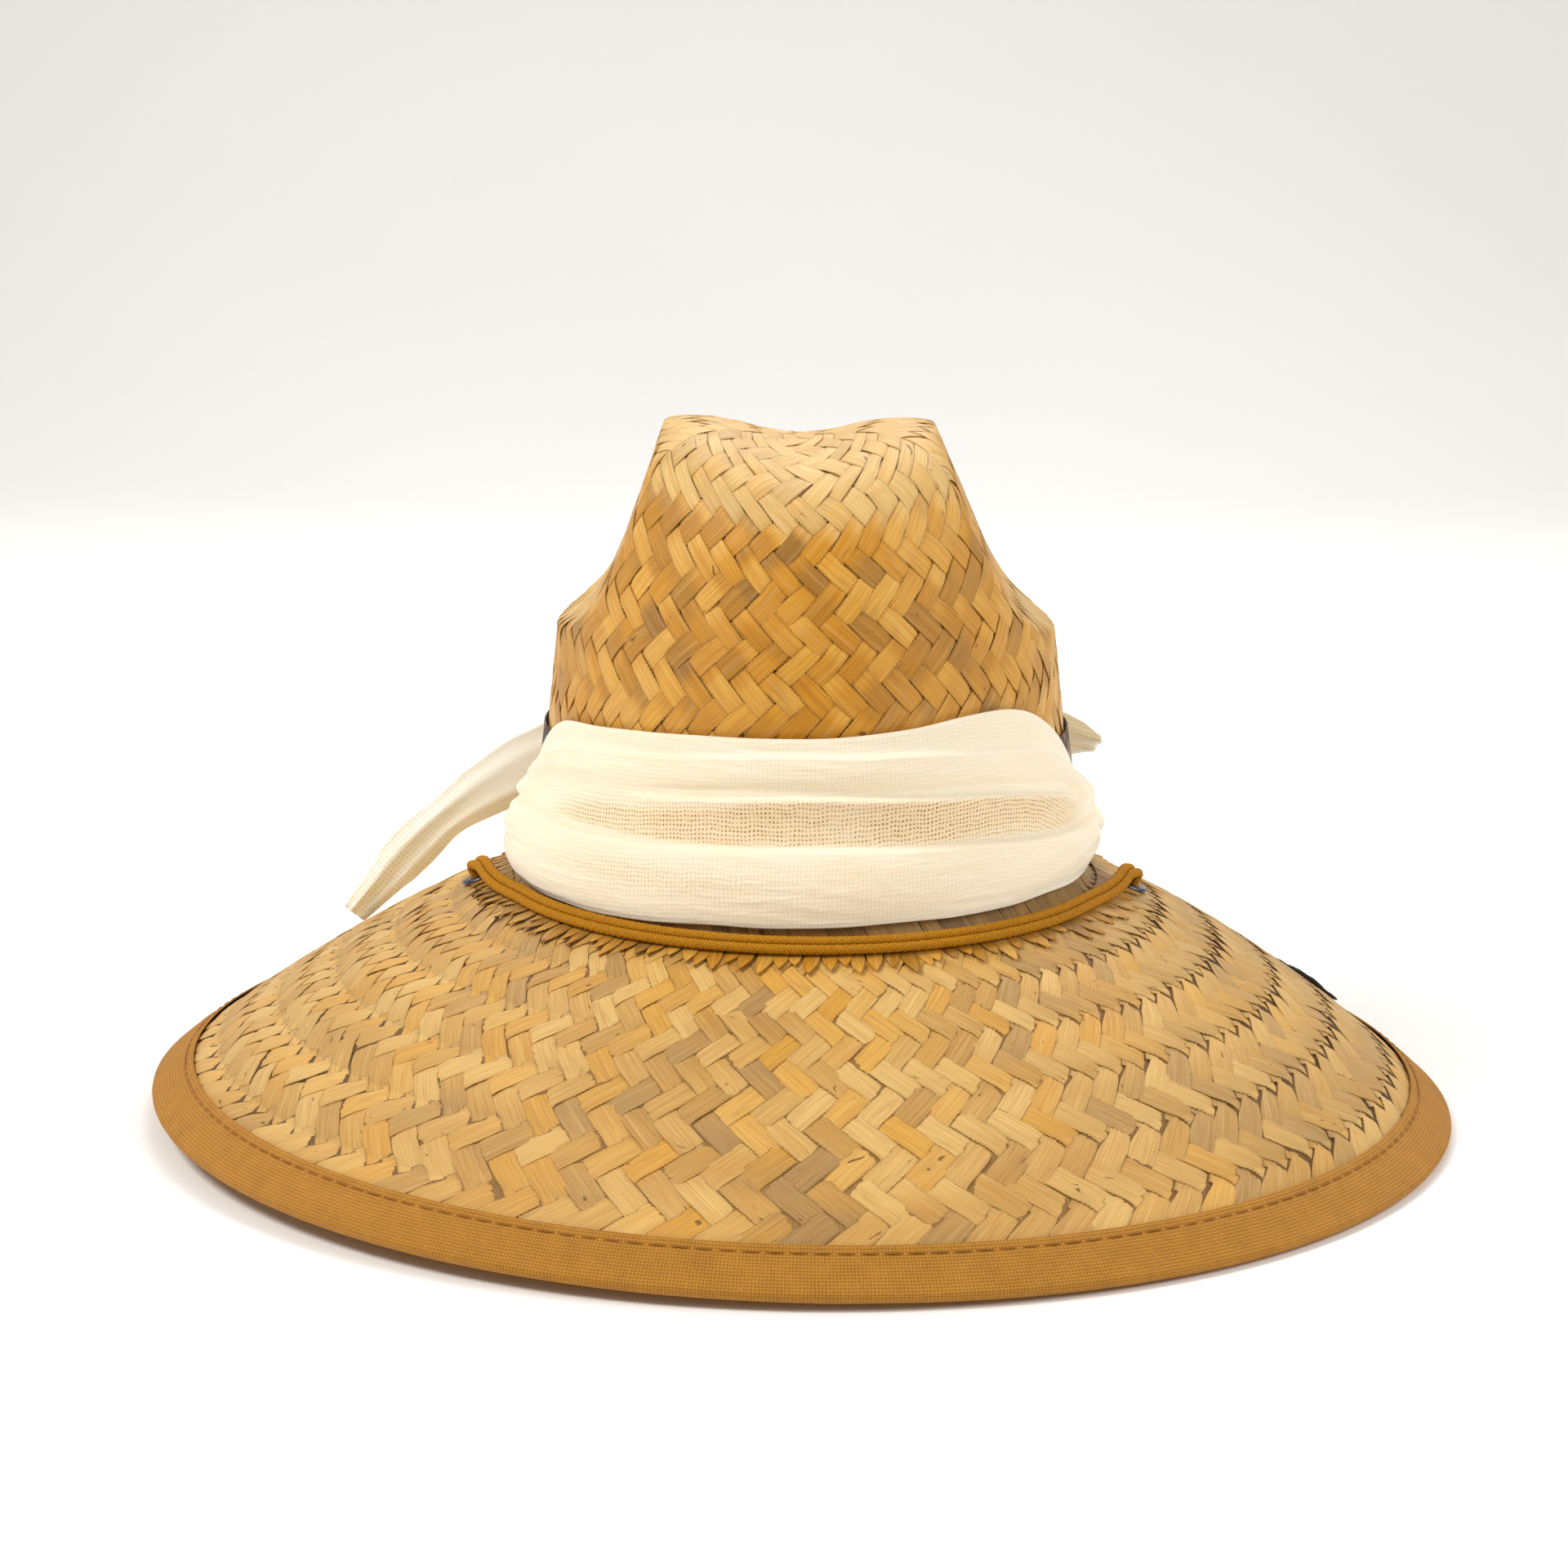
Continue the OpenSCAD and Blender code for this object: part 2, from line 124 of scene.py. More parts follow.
LEAN = 3.3               # what it falls more at the right than in the middle
STRAW_T = 2.2
SLANT = math.hypot(BRIM_HW - BASE_HW, SIDE_FALL)

TOP_HW = BASE_HW - FLARE_OUT
TOP_HL = BASE_HL - FLARE_OUT


def ease(k):
    """0 below k = 0, 1 above k = 1, and smooth between them."""
    k = np.clip(k, 0, 1)
    return k * k * (3 - 2 * k)


def mix(a, b, k):
    return a + (b - a) * k


def shrink(g, n):
    """Width share at height share g of an outline with squareness n."""
    return np.maximum(1e-9, 1 - np.clip(g, 0, 1) ** n) ** (1 / n)


def soft_min(a, b, k):
    """The smaller of a and b, rounded over a distance k where they cross."""
    h = np.clip(0.5 + 0.5 * (b - a) / k, 0, 1)
    return mix(b, a, h) - k * h * (1 - h)


def unit(v):
    """Vectors scaled to length 1."""
    return v / np.maximum(np.linalg.norm(v, axis=-1, keepdims=True), 1e-12)


def stacked(*parts):
    """Arrays broadcast to one shape and stacked as the last axis."""
    return np.stack(np.broadcast_arrays(*parts), -1)


def turn_angles(count):
    """Even angles over a full turn, as a column."""
    return np.arange(count)[:, None] * TAU / count


def bump_at(x, centre, width):
    """A smooth bump of height 1."""
    return np.exp(-(((x - centre) / width) ** 2))


def smooth_noise(rng, shape, x, y, wrap=True):
    """Smooth random values in -1..1 on a grid of the given shape, read at x and y in grid units."""
    grid = rng.uniform(-1, 1, shape)
    xi, yi = np.floor(x).astype(int), np.floor(y).astype(int)
    fx, fy = ease(x - xi), ease(y - yi)

    def at(a, b):
        a = a % shape[0] if wrap else np.clip(a, 0, shape[0] - 1)
        return grid[a, np.clip(b, 0, shape[1] - 1)]

    return mix(mix(at(xi, yi), at(xi + 1, yi), fx), mix(at(xi, yi + 1), at(xi + 1, yi + 1), fx), fy)


def read_path(at, given, path):
    """Points of a path at places along it."""
    return stacked(*(np.interp(at, given, column) for column in np.transpose(path)))


def crown_at(th, g, fx, fy, off):
    """Point of the crown at angle th and row (height share g, width shares fx and fy)."""
    z0 = g * (CROWN_H + off)
    foot = FLARE_OUT * np.exp(-z0 / FLARE_H)
    x0 = (TOP_HW + off + foot) * fx * np.cos(th)
    y = (TOP_HL + off + foot) * fy * np.sin(th)
    u = (z0 - SHOULDER_H) / (CROWN_H - SHOULDER_H)
    pinch = PINCH_HW + PINCH_TAPER * (1 - u) + PINCH_STEP * np.exp(np.minimum(-u / 0.1, 9))
    x = np.sign(x0) * soft_min(np.abs(x0), pinch + off, 3)
    crease = CREASE_DEPTH * np.exp(-((x / CREASE_HW) ** 2))
    run = np.where(y > PEAK_Y, (y - PEAK_Y) / (TOP_HL - PEAK_Y), (y - PEAK_Y) / (TOP_HL + PEAK_Y))
    fall = np.where(y > PEAK_Y, BACK_FALL, FRONT_FALL) * run * run
    return stacked(x - CROWN_LEAN * g**3, y, z0 - g**3 * (crease + fall))


def wall_at(th, z, off=0):
    """Point of the crown's lower wall at angle th and height z."""
    g = z / CROWN_H
    return crown_at(th, g, shrink(g, SQUARE_X), shrink(g, SQUARE_Y), off)


def brim_at(th, s):
    """Point of the brim's upper face at angle th and share s of its width; s below 0 climbs the wall."""
    out = np.maximum(s, 0)
    fall = SIDE_FALL * (CONE_SHARE * out + (1 - CONE_SHARE) * out * out)
    fall = fall + out * out * (END_FALL * np.sin(th) ** 2 + LEAN * np.cos(th))
    flat = stacked(mix(BASE_HW, BRIM_HW, out) * np.cos(th), mix(BASE_HL, BRIM_HL, out) * np.sin(th), -fall)
    up = wall_at(th, np.maximum(-s, 0) * SLANT)
    return np.where((s < 0)[..., None], up, flat)


FOLD = 0.014             # rounds the fold between crown and brim, as a share of the brim


def brim_frame(th, s):
    """Rounded brim point and its unit normal."""
    th, s = np.broadcast_arrays(np.asarray(th, float), np.asarray(s, float))
    taps = [(-1.5, 0.12), (-0.75, 0.23), (0, 0.3), (0.75, 0.23), (1.5, 0.12)]

    def rounded(t, v):
        return sum(w * brim_at(t, v + k * FOLD) for k, w in taps)

    p = rounded(th, s)
    along = rounded(th + 0.004, s) - rounded(th - 0.004, s)
    outward = rounded(th, s + 0.004) - rounded(th, s - 0.004)
    return p, unit(np.cross(outward, along))


class CrownMap:
    """The crown by ring share f (0 at its front left corner) and distance t from its top."""

    def __init__(self, rows=240, around=1440, cols=600):
        v = np.linspace(1, 0, rows)
        wall = v < WALL_SHARE
        g = WALL_TOP * v / WALL_SHARE
        f = shrink(WALL_TOP, SQUARE_X) * (1 - v) / (1 - WALL_SHARE)
        g = np.where(wall, g, shrink(f, SQUARE_X))
        fx = np.where(wall, shrink(g, SQUARE_X), f)
        th = FRONT + np.linspace(0, TAU, around + 1)
        grid = crown_at(th[None], g[:, None], fx[:, None], shrink(g, SQUARE_Y)[:, None], 0)
        even = np.linspace(0, 1, cols + 1)
        rings = []
        for ring in grid:
            step = np.linalg.norm(np.diff(ring, axis=0), axis=1) + 1e-9
            at = np.concatenate([[0], np.cumsum(step)])
            at /= at[-1]
            rings.append(read_path(even, at, ring))
        self.p = np.array(rings)
        self.cols = cols
        gap = np.linalg.norm(np.diff(self.p, axis=0), axis=-1).mean(axis=1)
        self.t = np.concatenate([[0], np.cumsum(gap)])
        ds = np.roll(self.p[:, :-1], -1, 1) - np.roll(self.p[:, :-1], 1, 1)
        dt = np.gradient(self.p[:, :-1], axis=0)
        n = unit(np.cross(dt, ds))
        n[0] = n[1]
        self.n = np.concatenate([n, n[:, :1]], axis=1)

    def read(self, f, t):
        """Points and unit normals at ring share f and distance t from the top."""
        k = np.interp(t, self.t, np.arange(len(self.t)))
        c = ((f - 0.125) % 1.0) * self.cols
        k0 = np.minimum(k.astype(int), len(self.t) - 2)
        c0 = np.minimum(c.astype(int), self.cols - 1)
        a, b = (k - k0)[..., None], (c - c0)[..., None]

        def at(table):
            return mix(mix(table[k0, c0], table[k0 + 1, c0], a),
                       mix(table[k0, c0 + 1], table[k0 + 1, c0 + 1], a), b)

        return at(self.p), unit(at(self.n))


# ---------- meshes from arrays ----------

def make_mesh(name, verts, quads, attributes=None, sharp=None):
    """A mesh object from points in millimetres. Attributes hold one value, or three, for each point."""
    quads = np.asarray(quads, np.int32)
    mesh = bpy.data.meshes.new(name)
    mesh.vertices.add(len(verts))
    mesh.vertices.foreach_set("co", (np.asarray(verts) * MM).astype(np.float32).ravel())
    mesh.loops.add(quads.size)
    mesh.loops.foreach_set("vertex_index", quads.ravel())
    mesh.polygons.add(len(quads))
    mesh.polygons.foreach_set("loop_start", np.arange(0, quads.size, 4, dtype=np.int32))
    mesh.polygons.foreach_set("use_smooth", np.full(len(quads), True))
    mesh.update(calc_edges=True)
    mesh.validate()
    for key, values in (attributes or {}).items():
        values = np.asarray(values, np.float32).reshape(len(verts), -1)
        kind = "FLOAT" if values.shape[1] == 1 else "FLOAT_VECTOR"
        layer = mesh.attributes.new(key, kind, "POINT")
        layer.data.foreach_set("value" if kind == "FLOAT" else "vector", values.ravel())
    if sharp:
        mesh.set_sharp_from_angle(angle=math.radians(sharp))
    obj = bpy.data.objects.new(name, mesh)
    bpy.context.scene.collection.objects.link(obj)
    return obj


def tube_faces(k, m, closed_path=False):
    """Quads of a tube of k rings of m points. Its ends are capped unless its path is closed; capped rings
    have an even number of points."""
    i, j = np.arange(k if closed_path else k - 1)[:, None], np.arange(m)
    here, ahead = i * m, (i + 1) % k * m
    faces = [stacked(here + j, here + (j + 1) % m, ahead + (j + 1) % m, ahead + j).reshape(-1, 4)]
    if not closed_path:
        j = np.arange(m // 2 - 1)
        cap = stacked(j, j + 1, m - 2 - j, m - 1 - j)
        faces += [cap[:, ::-1], cap + (k - 1) * m]
    return np.concatenate(faces)


def sweep(name, rings, closed_path=False, attributes=None, sharp=None, flip=False):
    """Solid tubes: rings has the shape (tubes, stations, points round, 3)."""
    n, k, m = rings.shape[:3]
    one = tube_faces(k, m, closed_path)
    one = one[:, ::-1] if flip else one
    quads = (one[None] + (np.arange(n) * k * m)[:, None, None]).reshape(-1, 4)
    return make_mesh(name, rings.reshape(-1, 3), quads, attributes, sharp)


def path_frames(path):
    """Tangents and two normals carried along paths of shape (n, k, 3) without twist."""
    t = unit(np.gradient(path, axis=1))
    u = np.zeros_like(t)
    ref = np.where(np.abs(t[:, 0, 2:3]) > 0.8, [[1.0, 0, 0]], [[0, 0, 1.0]])
    u[:, 0] = unit(np.cross(ref, t[:, 0]))
    for i in range(1, path.shape[1]):
        v = u[:, i - 1]
        u[:, i] = unit(v - (v * t[:, i]).sum(-1, keepdims=True) * t[:, i])
    return t, u, np.cross(t, u)


def tube_rings(path, radius, sides=8, flat=1.0):
    """Rings of points round paths of shape (n, k, 3)."""
    _, u, w = path_frames(path)
    a = turn_angles(sides)
    r = radius[:, :, None, None]
    return path[:, :, None] + r * np.cos(a) * u[:, :, None] + r * flat * np.sin(a) * w[:, :, None]


def run_length(points):
    """Distance along each row of points, from the row's start."""
    step = np.linalg.norm(np.diff(points, axis=-2), axis=-1)
    return np.concatenate([0 * step[..., :1], np.cumsum(step, -1)], -1)


def resample(path, step):
    """One path of shape (k, 3) with even steps."""
    d = run_length(path)
    return read_path(np.linspace(0, d[-1], max(2, int(d[-1] / step))), d, path)


def smooth_path(points, step=1.0, passes=3):
    """A rounded path through a few points."""
    p = np.array(points, float)
    for _ in range(passes):
        q, r = mix(p[:-1], p[1:], 0.25), mix(p[:-1], p[1:], 0.75)
        p = np.concatenate([p[:1], np.stack([q, r], 1).reshape(-1, 3), p[-1:]])
    return resample(p, step)


def lathe(name, profile, place, turn):
    """A closed profile of (radius, height) points turned round an axis; turn holds the axis frame."""
    a = turn_angles(64)
    r, h = np.transpose(profile)
    rings = stacked(np.cos(a) * r, np.sin(a) * r, h) @ turn + place
    grain = stacked(a * 4, np.arange(len(r)) * 0.4, 0)
    return sweep(name, rings[None], closed_path=True, attributes={"grain": grain}, sharp=50)


# ---------- materials ----------

def srgb(hexcode):
    """Linear colour from a hex code."""
    c = [int(hexcode[i:i + 2], 16) / 255 for i in (1, 3, 5)]
    return np.array([x / 12.92 if x <= 0.04045 else ((x + 0.055) / 1.055) ** 2.4 for x in c])


class Nodes:
    """Short calls for building a material's node tree."""

    def __init__(self, name, roughness=0.6, sheen=0.0, metallic=0.0, specular=0.5):
        self.mat = bpy.data.materials.new(name)
        self.mat.use_nodes = True
        self.tree = self.mat.node_tree
        self.bsdf = self.tree.nodes["Principled BSDF"]
        self.set({"Roughness": roughness, "Sheen Weight": sheen, "Metallic": metallic,
                  "Specular IOR Level": specular})

    def set(self, values):
        """Plain values of the surface's inputs."""
        for key, value in values.items():
            self.bsdf.inputs[key].default_value = value

    def node(self, kind, **settings):
        n = self.tree.nodes.new("ShaderNode" + kind)
        for key, value in settings.items():
            setattr(n, key, value)
        return n

    def link(self, a, b):
        self.tree.links.new(a, b)

    def put(self, socket, value):
        """Links another node's output to a socket, or sets the socket's own value."""
        if isinstance(value, bpy.types.NodeSocket):
            self.link(value, socket)
        else:
            if isinstance(value, np.ndarray):
                value = tuple(value) + ((1.0,) if len(value) == 3 and socket.type == "RGBA" else ())
            socket.default_value = value

    def attribute(self, name, vector=True):
        n = self.node("Attribute", attribute_name=name)
        return n.outputs["Vector"] if vector else n.outputs["Fac"]

    def math(self, op, a, b=0.5, c=0.5):
        n = self.node("Math", operation=op)
        for socket, value in zip(n.inputs, (a, b, c)):
            self.put(socket, value)
        return n.outputs[0]

    def times(self, a, b):
        return self.math("MULTIPLY", a, b)

    def plus(self, a, b):
        return self.math("ADD", a, b)

    def line(self, a, b, c):
        """a * b + c"""
        return self.math("MULTIPLY_ADD", a, b, c)

    def noise(self, vector, by, detail=2, distort=0.0):
        """Noise at a vector that is scaled along its three axes."""
        scaled = self.node("VectorMath", operation="MULTIPLY")
        self.put(scaled.inputs[0], vector)
        self.put(scaled.inputs[1], by)
        n = self.node("TexNoise")
        self.link(scaled.outputs[0], n.inputs["Vector"])
        for key, value in (("Scale", 1), ("Detail", detail), ("Distortion", distort)):
            n.inputs[key].default_value = value
        return n.outputs["Fac"]

    def ramp(self, fac, lo, hi):
        n = self.node("MapRange", interpolation_type="SMOOTHSTEP")
        self.put(n.inputs["Value"], fac)
        n.inputs["From Min"].default_value = lo
        n.inputs["From Max"].default_value = hi
        return n.outputs["Result"]

    def blend(self, fac, a, b, mode="MIX"):
        n = self.node("Mix", data_type="RGBA", blend_type=mode, clamp_factor=True)
        self.put(n.inputs["Factor"], fac)
        colours = [socket for socket in n.inputs if socket.type == "RGBA"]
        self.put(colours[0], a)
        self.put(colours[1], b)
        return next(socket for socket in n.outputs if socket.type == "RGBA")

    def tint(self, col, other, fac, lo, hi, share):
        """Colour col that goes over to other, by a share, where fac runs from lo to hi."""
        return self.blend(self.times(self.ramp(fac, lo, hi), share), col, other)

    def parts(self, vector):
        n = self.node("SeparateXYZ")
        self.put(n.inputs[0], vector)
        return n.outputs

    def bump(self, height, distance):
        """Relief of a depth in millimetres."""
        n = self.node("Bump")
        self.put(n.inputs["Height"], height)
        n.inputs["Distance"].default_value = distance * MM
        self.link(n.outputs[0], self.bsdf.inputs["Normal"])

    def colour(self, value):
        self.put(self.bsdf.inputs["Base Color"], value)


def straw_material():
    """Split palm leaf: fine grain along each strip, serrated dark edges and a few knots."""
    m = Nodes("straw_leaf", roughness=0.5, specular=0.35)
    grain, tone = m.attribute("grain"), m.attribute("tone")
    fine = m.noise(grain, (0.06, 3.2, 1.0), 3)
    broad = m.noise(grain, (0.02, 0.8, 1.0))
    patchy = m.noise(grain, (0.09, 0.22, 1.0))
    knots = m.noise(grain, (0.17, 0.3, 3.1), 1, distort=0.6)
    col = m.tint(tone, m.blend(1.0, tone, srgb("#C08A48"), "MULTIPLY"), fine, 0.35, 0.7, 0.42)
    col = m.tint(col, srgb("#F0D293"), broad, 0.5, 0.75, 0.14)
    col = m.tint(col, srgb("#93703C"), patchy, 0.55, 0.8, 0.26)
    col = m.tint(col, srgb("#5E3712"), knots, 0.73, 0.8, 0.8)
    teeth = m.math("SINE", m.line(fine, 2.0, m.times(m.parts(grain)[0], TAU / 1.3)))
    ragged = m.ramp(m.noise(grain, (0.2, 0.1, 1.0), 1), 0.4, 0.62)
    nick = m.times(m.ramp(teeth, -0.2, 0.6), m.line(ragged, 0.55, 0.1))
    edge = m.ramp(m.attribute("edge", vector=False), 0.82, 1.0)
    m.colour(m.blend(m.times(edge, m.line(nick, 0.85, 0.2)), col, srgb("#46290A")))
    m.put(m.bsdf.inputs["Roughness"], m.line(fine, 0.25, 0.4))
    m.bump(m.plus(m.times(fine, 0.7), m.times(broad, 0.6)), 0.2)
    return m.mat


def woven_material(name, light, dark, pitch, depth=0.12, sheen=0.2, fleck=0.3, pattern=None):
    """Plain-woven cloth from a cloth coordinate in millimetres."""
    m = Nodes(name, roughness=0.85, sheen=sheen, specular=0.2)
    cloth = m.attribute("cloth")
    wobble = m.noise(cloth, (0.4, 0.4, 1.0))
    wx, wy = (m.math("SINE", m.line(wobble, 1.5, m.times(v, TAU / pitch))) for v in m.parts(cloth)[:2])
    cell = m.line(m.times(wx, wy), 0.5, 0.5)
    mottled = m.noise(cloth, (0.12, 0.12, 1.0), 4)
    speck = m.noise(cloth, (1.3, 1.3, 1.0))
    col = m.blend(m.line(cell, 0.6, m.times(mottled, 0.4)), dark, light)
    if pattern:
        col = pattern(m, cloth, col)
    m.colour(m.tint(col, light * 1.1, speck, 0.55, 0.75, fleck))
    m.bump(m.plus(cell, m.times(speck, 0.5)), depth)
    return m.mat


def ribbon_pattern(m, cloth, ground):
    """Rows of small tan diamonds with rust dots between them."""
    x, y, _ = m.parts(cloth)

    def wave(value, period, shift=0.0):
        return m.math("PINGPONG", m.plus(value, shift), period / 2)

    diamond = m.plus(wave(x, 14), wave(y, 13.7, 6.85))
    ring = m.times(m.math("LESS_THAN", diamond, 5.2), m.math("GREATER_THAN", diamond, 3.4))
    dot = m.math("LESS_THAN", m.plus(wave(x, 14, 7.0), wave(y, 13.7)), 2.0)
    core = m.math("LESS_THAN", diamond, 1.5)
    col = m.blend(m.times(ring, 0.9), ground, srgb("#B98A58"))
    col = m.blend(m.times(dot, 0.9), col, srgb("#A5532A"))
    return m.blend(m.times(core, 0.85), col, srgb("#D8C3A0"))


def gauze_material(name="gauze", light=srgb("#F9EDD4"), through=0.12):
    """Open cotton gauze: fine threads, with gaps between them where the sheer attribute is high."""
    m = Nodes(name, roughness=0.9, sheen=0.35, specular=0.15)
    cloth = m.attribute("cloth")
    sheer = m.attribute("sheer", vector=False)
    wobble = m.noise(cloth, (0.16, 0.16, 1.0), 3)
    jitter = m.noise(cloth, (0.9, 0.9, 1.0))
    x, y, _ = m.parts(cloth)
    shift = m.line(wobble, 9.0, m.times(jitter, 1.4))
    pitch = 1.35
    warp = m.math("SINE", m.plus(shift, m.times(x, TAU / pitch)))
    weft = m.math("SINE", m.math("SUBTRACT", m.times(y, TAU / pitch), shift))
    gap = m.times(m.ramp(warp, -0.25, 0.6), m.ramp(weft, -0.25, 0.6))
    uneven = m.ramp(m.noise(cloth, (0.35, 0.35, 1.0), 3), 0.3, 0.62)
    hole = m.times(gap, m.times(sheer, m.line(uneven, 0.6, 0.4)))
    threads = m.math("MAXIMUM", warp, weft)
    col = m.tint(light, srgb("#F4DFB9"), m.noise(cloth, (0.03, 0.1, 1.0), 3), 0.35, 0.75, 0.3)
    col = m.tint(col, srgb("#F0D5A8"), sheer, 0.0, 1.0, 0.8)
    col = m.tint(col, srgb("#E9D3AC"), threads, 0.0, 1.0, 0.1)
    m.colour(m.blend(hole, col, srgb("#8F5E24")))
    m.bump(m.plus(m.times(threads, -0.5), m.times(jitter, 0.6)), 0.05)
    m.set({"Subsurface Weight": through, "Subsurface Radius": (0.004, 0.003, 0.002), "Subsurface Scale": 0.6})
    return m.mat


def yarn_material(name, light, dark):
    """Twisted yarn with fine fibres."""
    m = Nodes(name, roughness=0.6, specular=0.2)
    grain = m.attribute("grain")
    fibre = m.noise(grain, (1.6, 5.0, 1.0), 3)
    slow = m.noise(grain, (0.05, 0.3, 1.0))
    m.colour(m.blend(m.line(fibre, 0.8, m.times(slow, 0.3)), dark, light))
    m.bump(fibre, 0.06)
    return m.mat


def metal_material():
    """Gunmetal with fine turning marks and lighter worn patches."""
    m = Nodes("gunmetal", roughness=0.32, metallic=1.0)
    grain = m.attribute("grain")
    scratch = m.noise(grain, (4.0, 0.4, 1.0), 4)
    wear = m.ramp(m.noise(grain, (0.5, 0.5, 1.0), 3), 0.5, 0.75)
    m.colour(m.blend(wear, srgb("#585864"), srgb("#8A8A94")))
    m.put(m.bsdf.inputs["Roughness"], m.line(scratch, 0.3, 0.2))
    m.bump(scratch, 0.02)
    return m.mat


def wood_material():
    """Waxed hardwood with long grain."""
    m = Nodes("bead_wood", roughness=0.35)
    rings = m.noise(m.node("TexCoord").outputs["Object"], (900.0, 160.0, 700.0), 4, distort=0.8)
    m.colour(m.blend(m.ramp(rings, 0.3, 0.7), srgb("#5E3416"), srgb("#A5672F")))
    m.put(m.bsdf.inputs["Roughness"], m.line(rings, 0.3, 0.2))
    m.bump(rings, 0.05)
    return m.mat


STRAW = straw_material()
TAPE = woven_material("binding_canvas", srgb("#D19235"), srgb("#80531A"), 1.5, depth=0.35, sheen=0.05,
                      fleck=0.4)
SWEAT = woven_material("sweatband_cotton", srgb("#DCCCA8"), srgb("#B49E74"), 1.1, depth=0.1)
RIBBON = woven_material("printed_ribbon", srgb("#4A3A33"), srgb("#241813"), 0.9, depth=0.1, fleck=0.08,
                        pattern=ribbon_pattern)
PATCH = woven_material("woven_patch", srgb("#33333A"), srgb("#15151A"), 0.8, depth=0.12, fleck=0.15)
GAUZE = gauze_material()
# The tails' gauze is a whiter copy of the wrap's: painted light on tails that hang in shade; it also lets
# more light through.
TAILS_PAINTED_LIGHT_GAUZE = gauze_material("tail_gauze_painted_light", light=srgb("#FFFAEE"), through=0.6)
CORD = yarn_material("braided_cord", srgb("#D9950F"), srgb("#6E4304"))
THREAD = yarn_material("sewing_thread", srgb("#A86C20"), srgb("#744812"))
DARK_THREAD = yarn_material("dark_thread", srgb("#55504A"), srgb("#2A2724"))
METAL = metal_material()
WOOD = wood_material()


def place(obj, body, slot, material, *nodes):
    """Gives a piece its material and body, and hides the CAD nodes it stands for."""
    obj.data.materials.append(material)
    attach(obj, body)
    if nodes:
        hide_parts(*nodes)
    return obj


# ---------- woven straw ----------

LEAF_T = 0.32            # thickness of one strip
WAVE = 0.38              # height of a strip above or below the middle of the weave
CAMBER = 0.09            # rounding across a strip
ACROSS = np.array([-0.5, -0.22, 0.22, 0.5])

# AMBER and DULL serve only the painted amber: light glowing through the straw at the front, and its shade.
PALE, TAN, GOLD, GREY, AMBER = (srgb(c) for c in ("#DFBD78", "#C79C54", "#DDA53E", "#B4905A", "#CB8A12"))
DULL, KHAKI = srgb("#9C6F25"), srgb("#CCA663")


def crossing(phase):
    """Smooth square wave of period 4: 1 while a strip is on top, -1 while it is below."""
    return np.tanh(2.6 * np.cos(phase * TAU / 4)) / math.tanh(2.6)


FLOATS = 32              # more floats than any one strip has


def float_values(rng, at, spread):
    """Random values, one per float of each strip; they change while the strip is underneath."""
    table = rng.normal(0, spread, (len(at), FLOATS + 1))
    i = np.floor(at).astype(int)
    row = np.arange(len(at)).reshape((-1,) + (1,) * (at.ndim - 1))
    return mix(table[row, i % FLOATS], table[row, (i + 1) % FLOATS], ease((at - i - 0.8) / 0.2))


def leaf_tone(rng, at, painted_amber, drift=0.0):
    """Colour along each strip: mostly straw, some greyer, some golden, and amber by the share in the third
    argument; that amber is painted light and shade, light glowing through the straw on the side that faces
    the front and its darker shade.
    Drift, -1 to 1, pulls whole areas towards grey or towards pale gold."""
    base = rng.uniform(0.2, 0.9, (at.shape[0],) + (1,) * (at.ndim - 1))
    k = np.clip(base + float_values(rng, at, 0.26) + 0.4 * drift, 0, 1)[..., None]
    gold = np.clip(float_values(rng, at, 0.7) - 0.1 + 0.4 * drift, 0, 1)[..., None]
    col = np.where(k < 0.35, mix(GREY, TAN, k / 0.35), mix(TAN, PALE, (k - 0.35) / 0.65))
    col = mix(col, GOLD, gold * 0.8)
    shade = mix(AMBER, DULL, np.clip(1 - 1.7 * k, 0, 1))
    shade = mix(shade, GOLD, np.clip(2.2 * k - 1.2, 0, 1))
    return mix(col, shade, painted_amber[..., None])


def weave_lift(rng, at, phase, side=1):
    """Height of a strip's points above the upper face; side -1 swaps over and under."""
    lift = WAVE * crossing(phase) * side + float_values(rng, at, 0.06)
    return lift + ACROSS * float_values(rng, at, 0.2) - STRAW_T / 2


def strips(name, p, n, lift, tone, along, crisp=1.0):
    """Closed thin strips from surface points p and normals n of shape (strips, stations, across, 3).
    Where crisp is below 1 the strip's edges are drawn less dark."""
    count, _, wide = p.shape[:3]
    cross = np.linspace(-1, 1, wide)
    camber = CAMBER * (1 - cross**2)
    top = p + n * (lift + LEAF_T / 2 + camber - CAMBER / 2)[..., None]
    ends = [wide - 1, 0]
    low = p[:, :, ends] - n[:, :, ends] * (LEAF_T / 2 + CAMBER / 2 - lift[:, :, ends])[..., None]
    rings = np.concatenate([top, low], axis=2)
    width = np.linalg.norm(p[:, :, -1] - p[:, :, 0], axis=-1)
    side = np.concatenate([cross, [1, -1]])
    strip = np.arange(count)[:, None, None] * 7.31      # each strip reads its own stretch of grain
    grain = stacked(along[..., None], side / 2 * width[..., None] + strip, strip)
    edge = np.abs(side) * (crisp + 0 * width)[..., None]
    tone = np.broadcast_to(tone[:, :, None], rings.shape)
    return sweep(name, rings, attributes={"tone": tone, "grain": grain, "edge": edge}, sharp=40, flip=True)


BRIM_STRIPS = 96         # strips of each family round the brim
BRIM_STATIONS = 176      # sections along one strip
BRIM_TURNS = 12.5        # rows of floats across the brim's width, times one half
BRIM_SHIFT = 3.41        # puts the rows' boundaries where they show


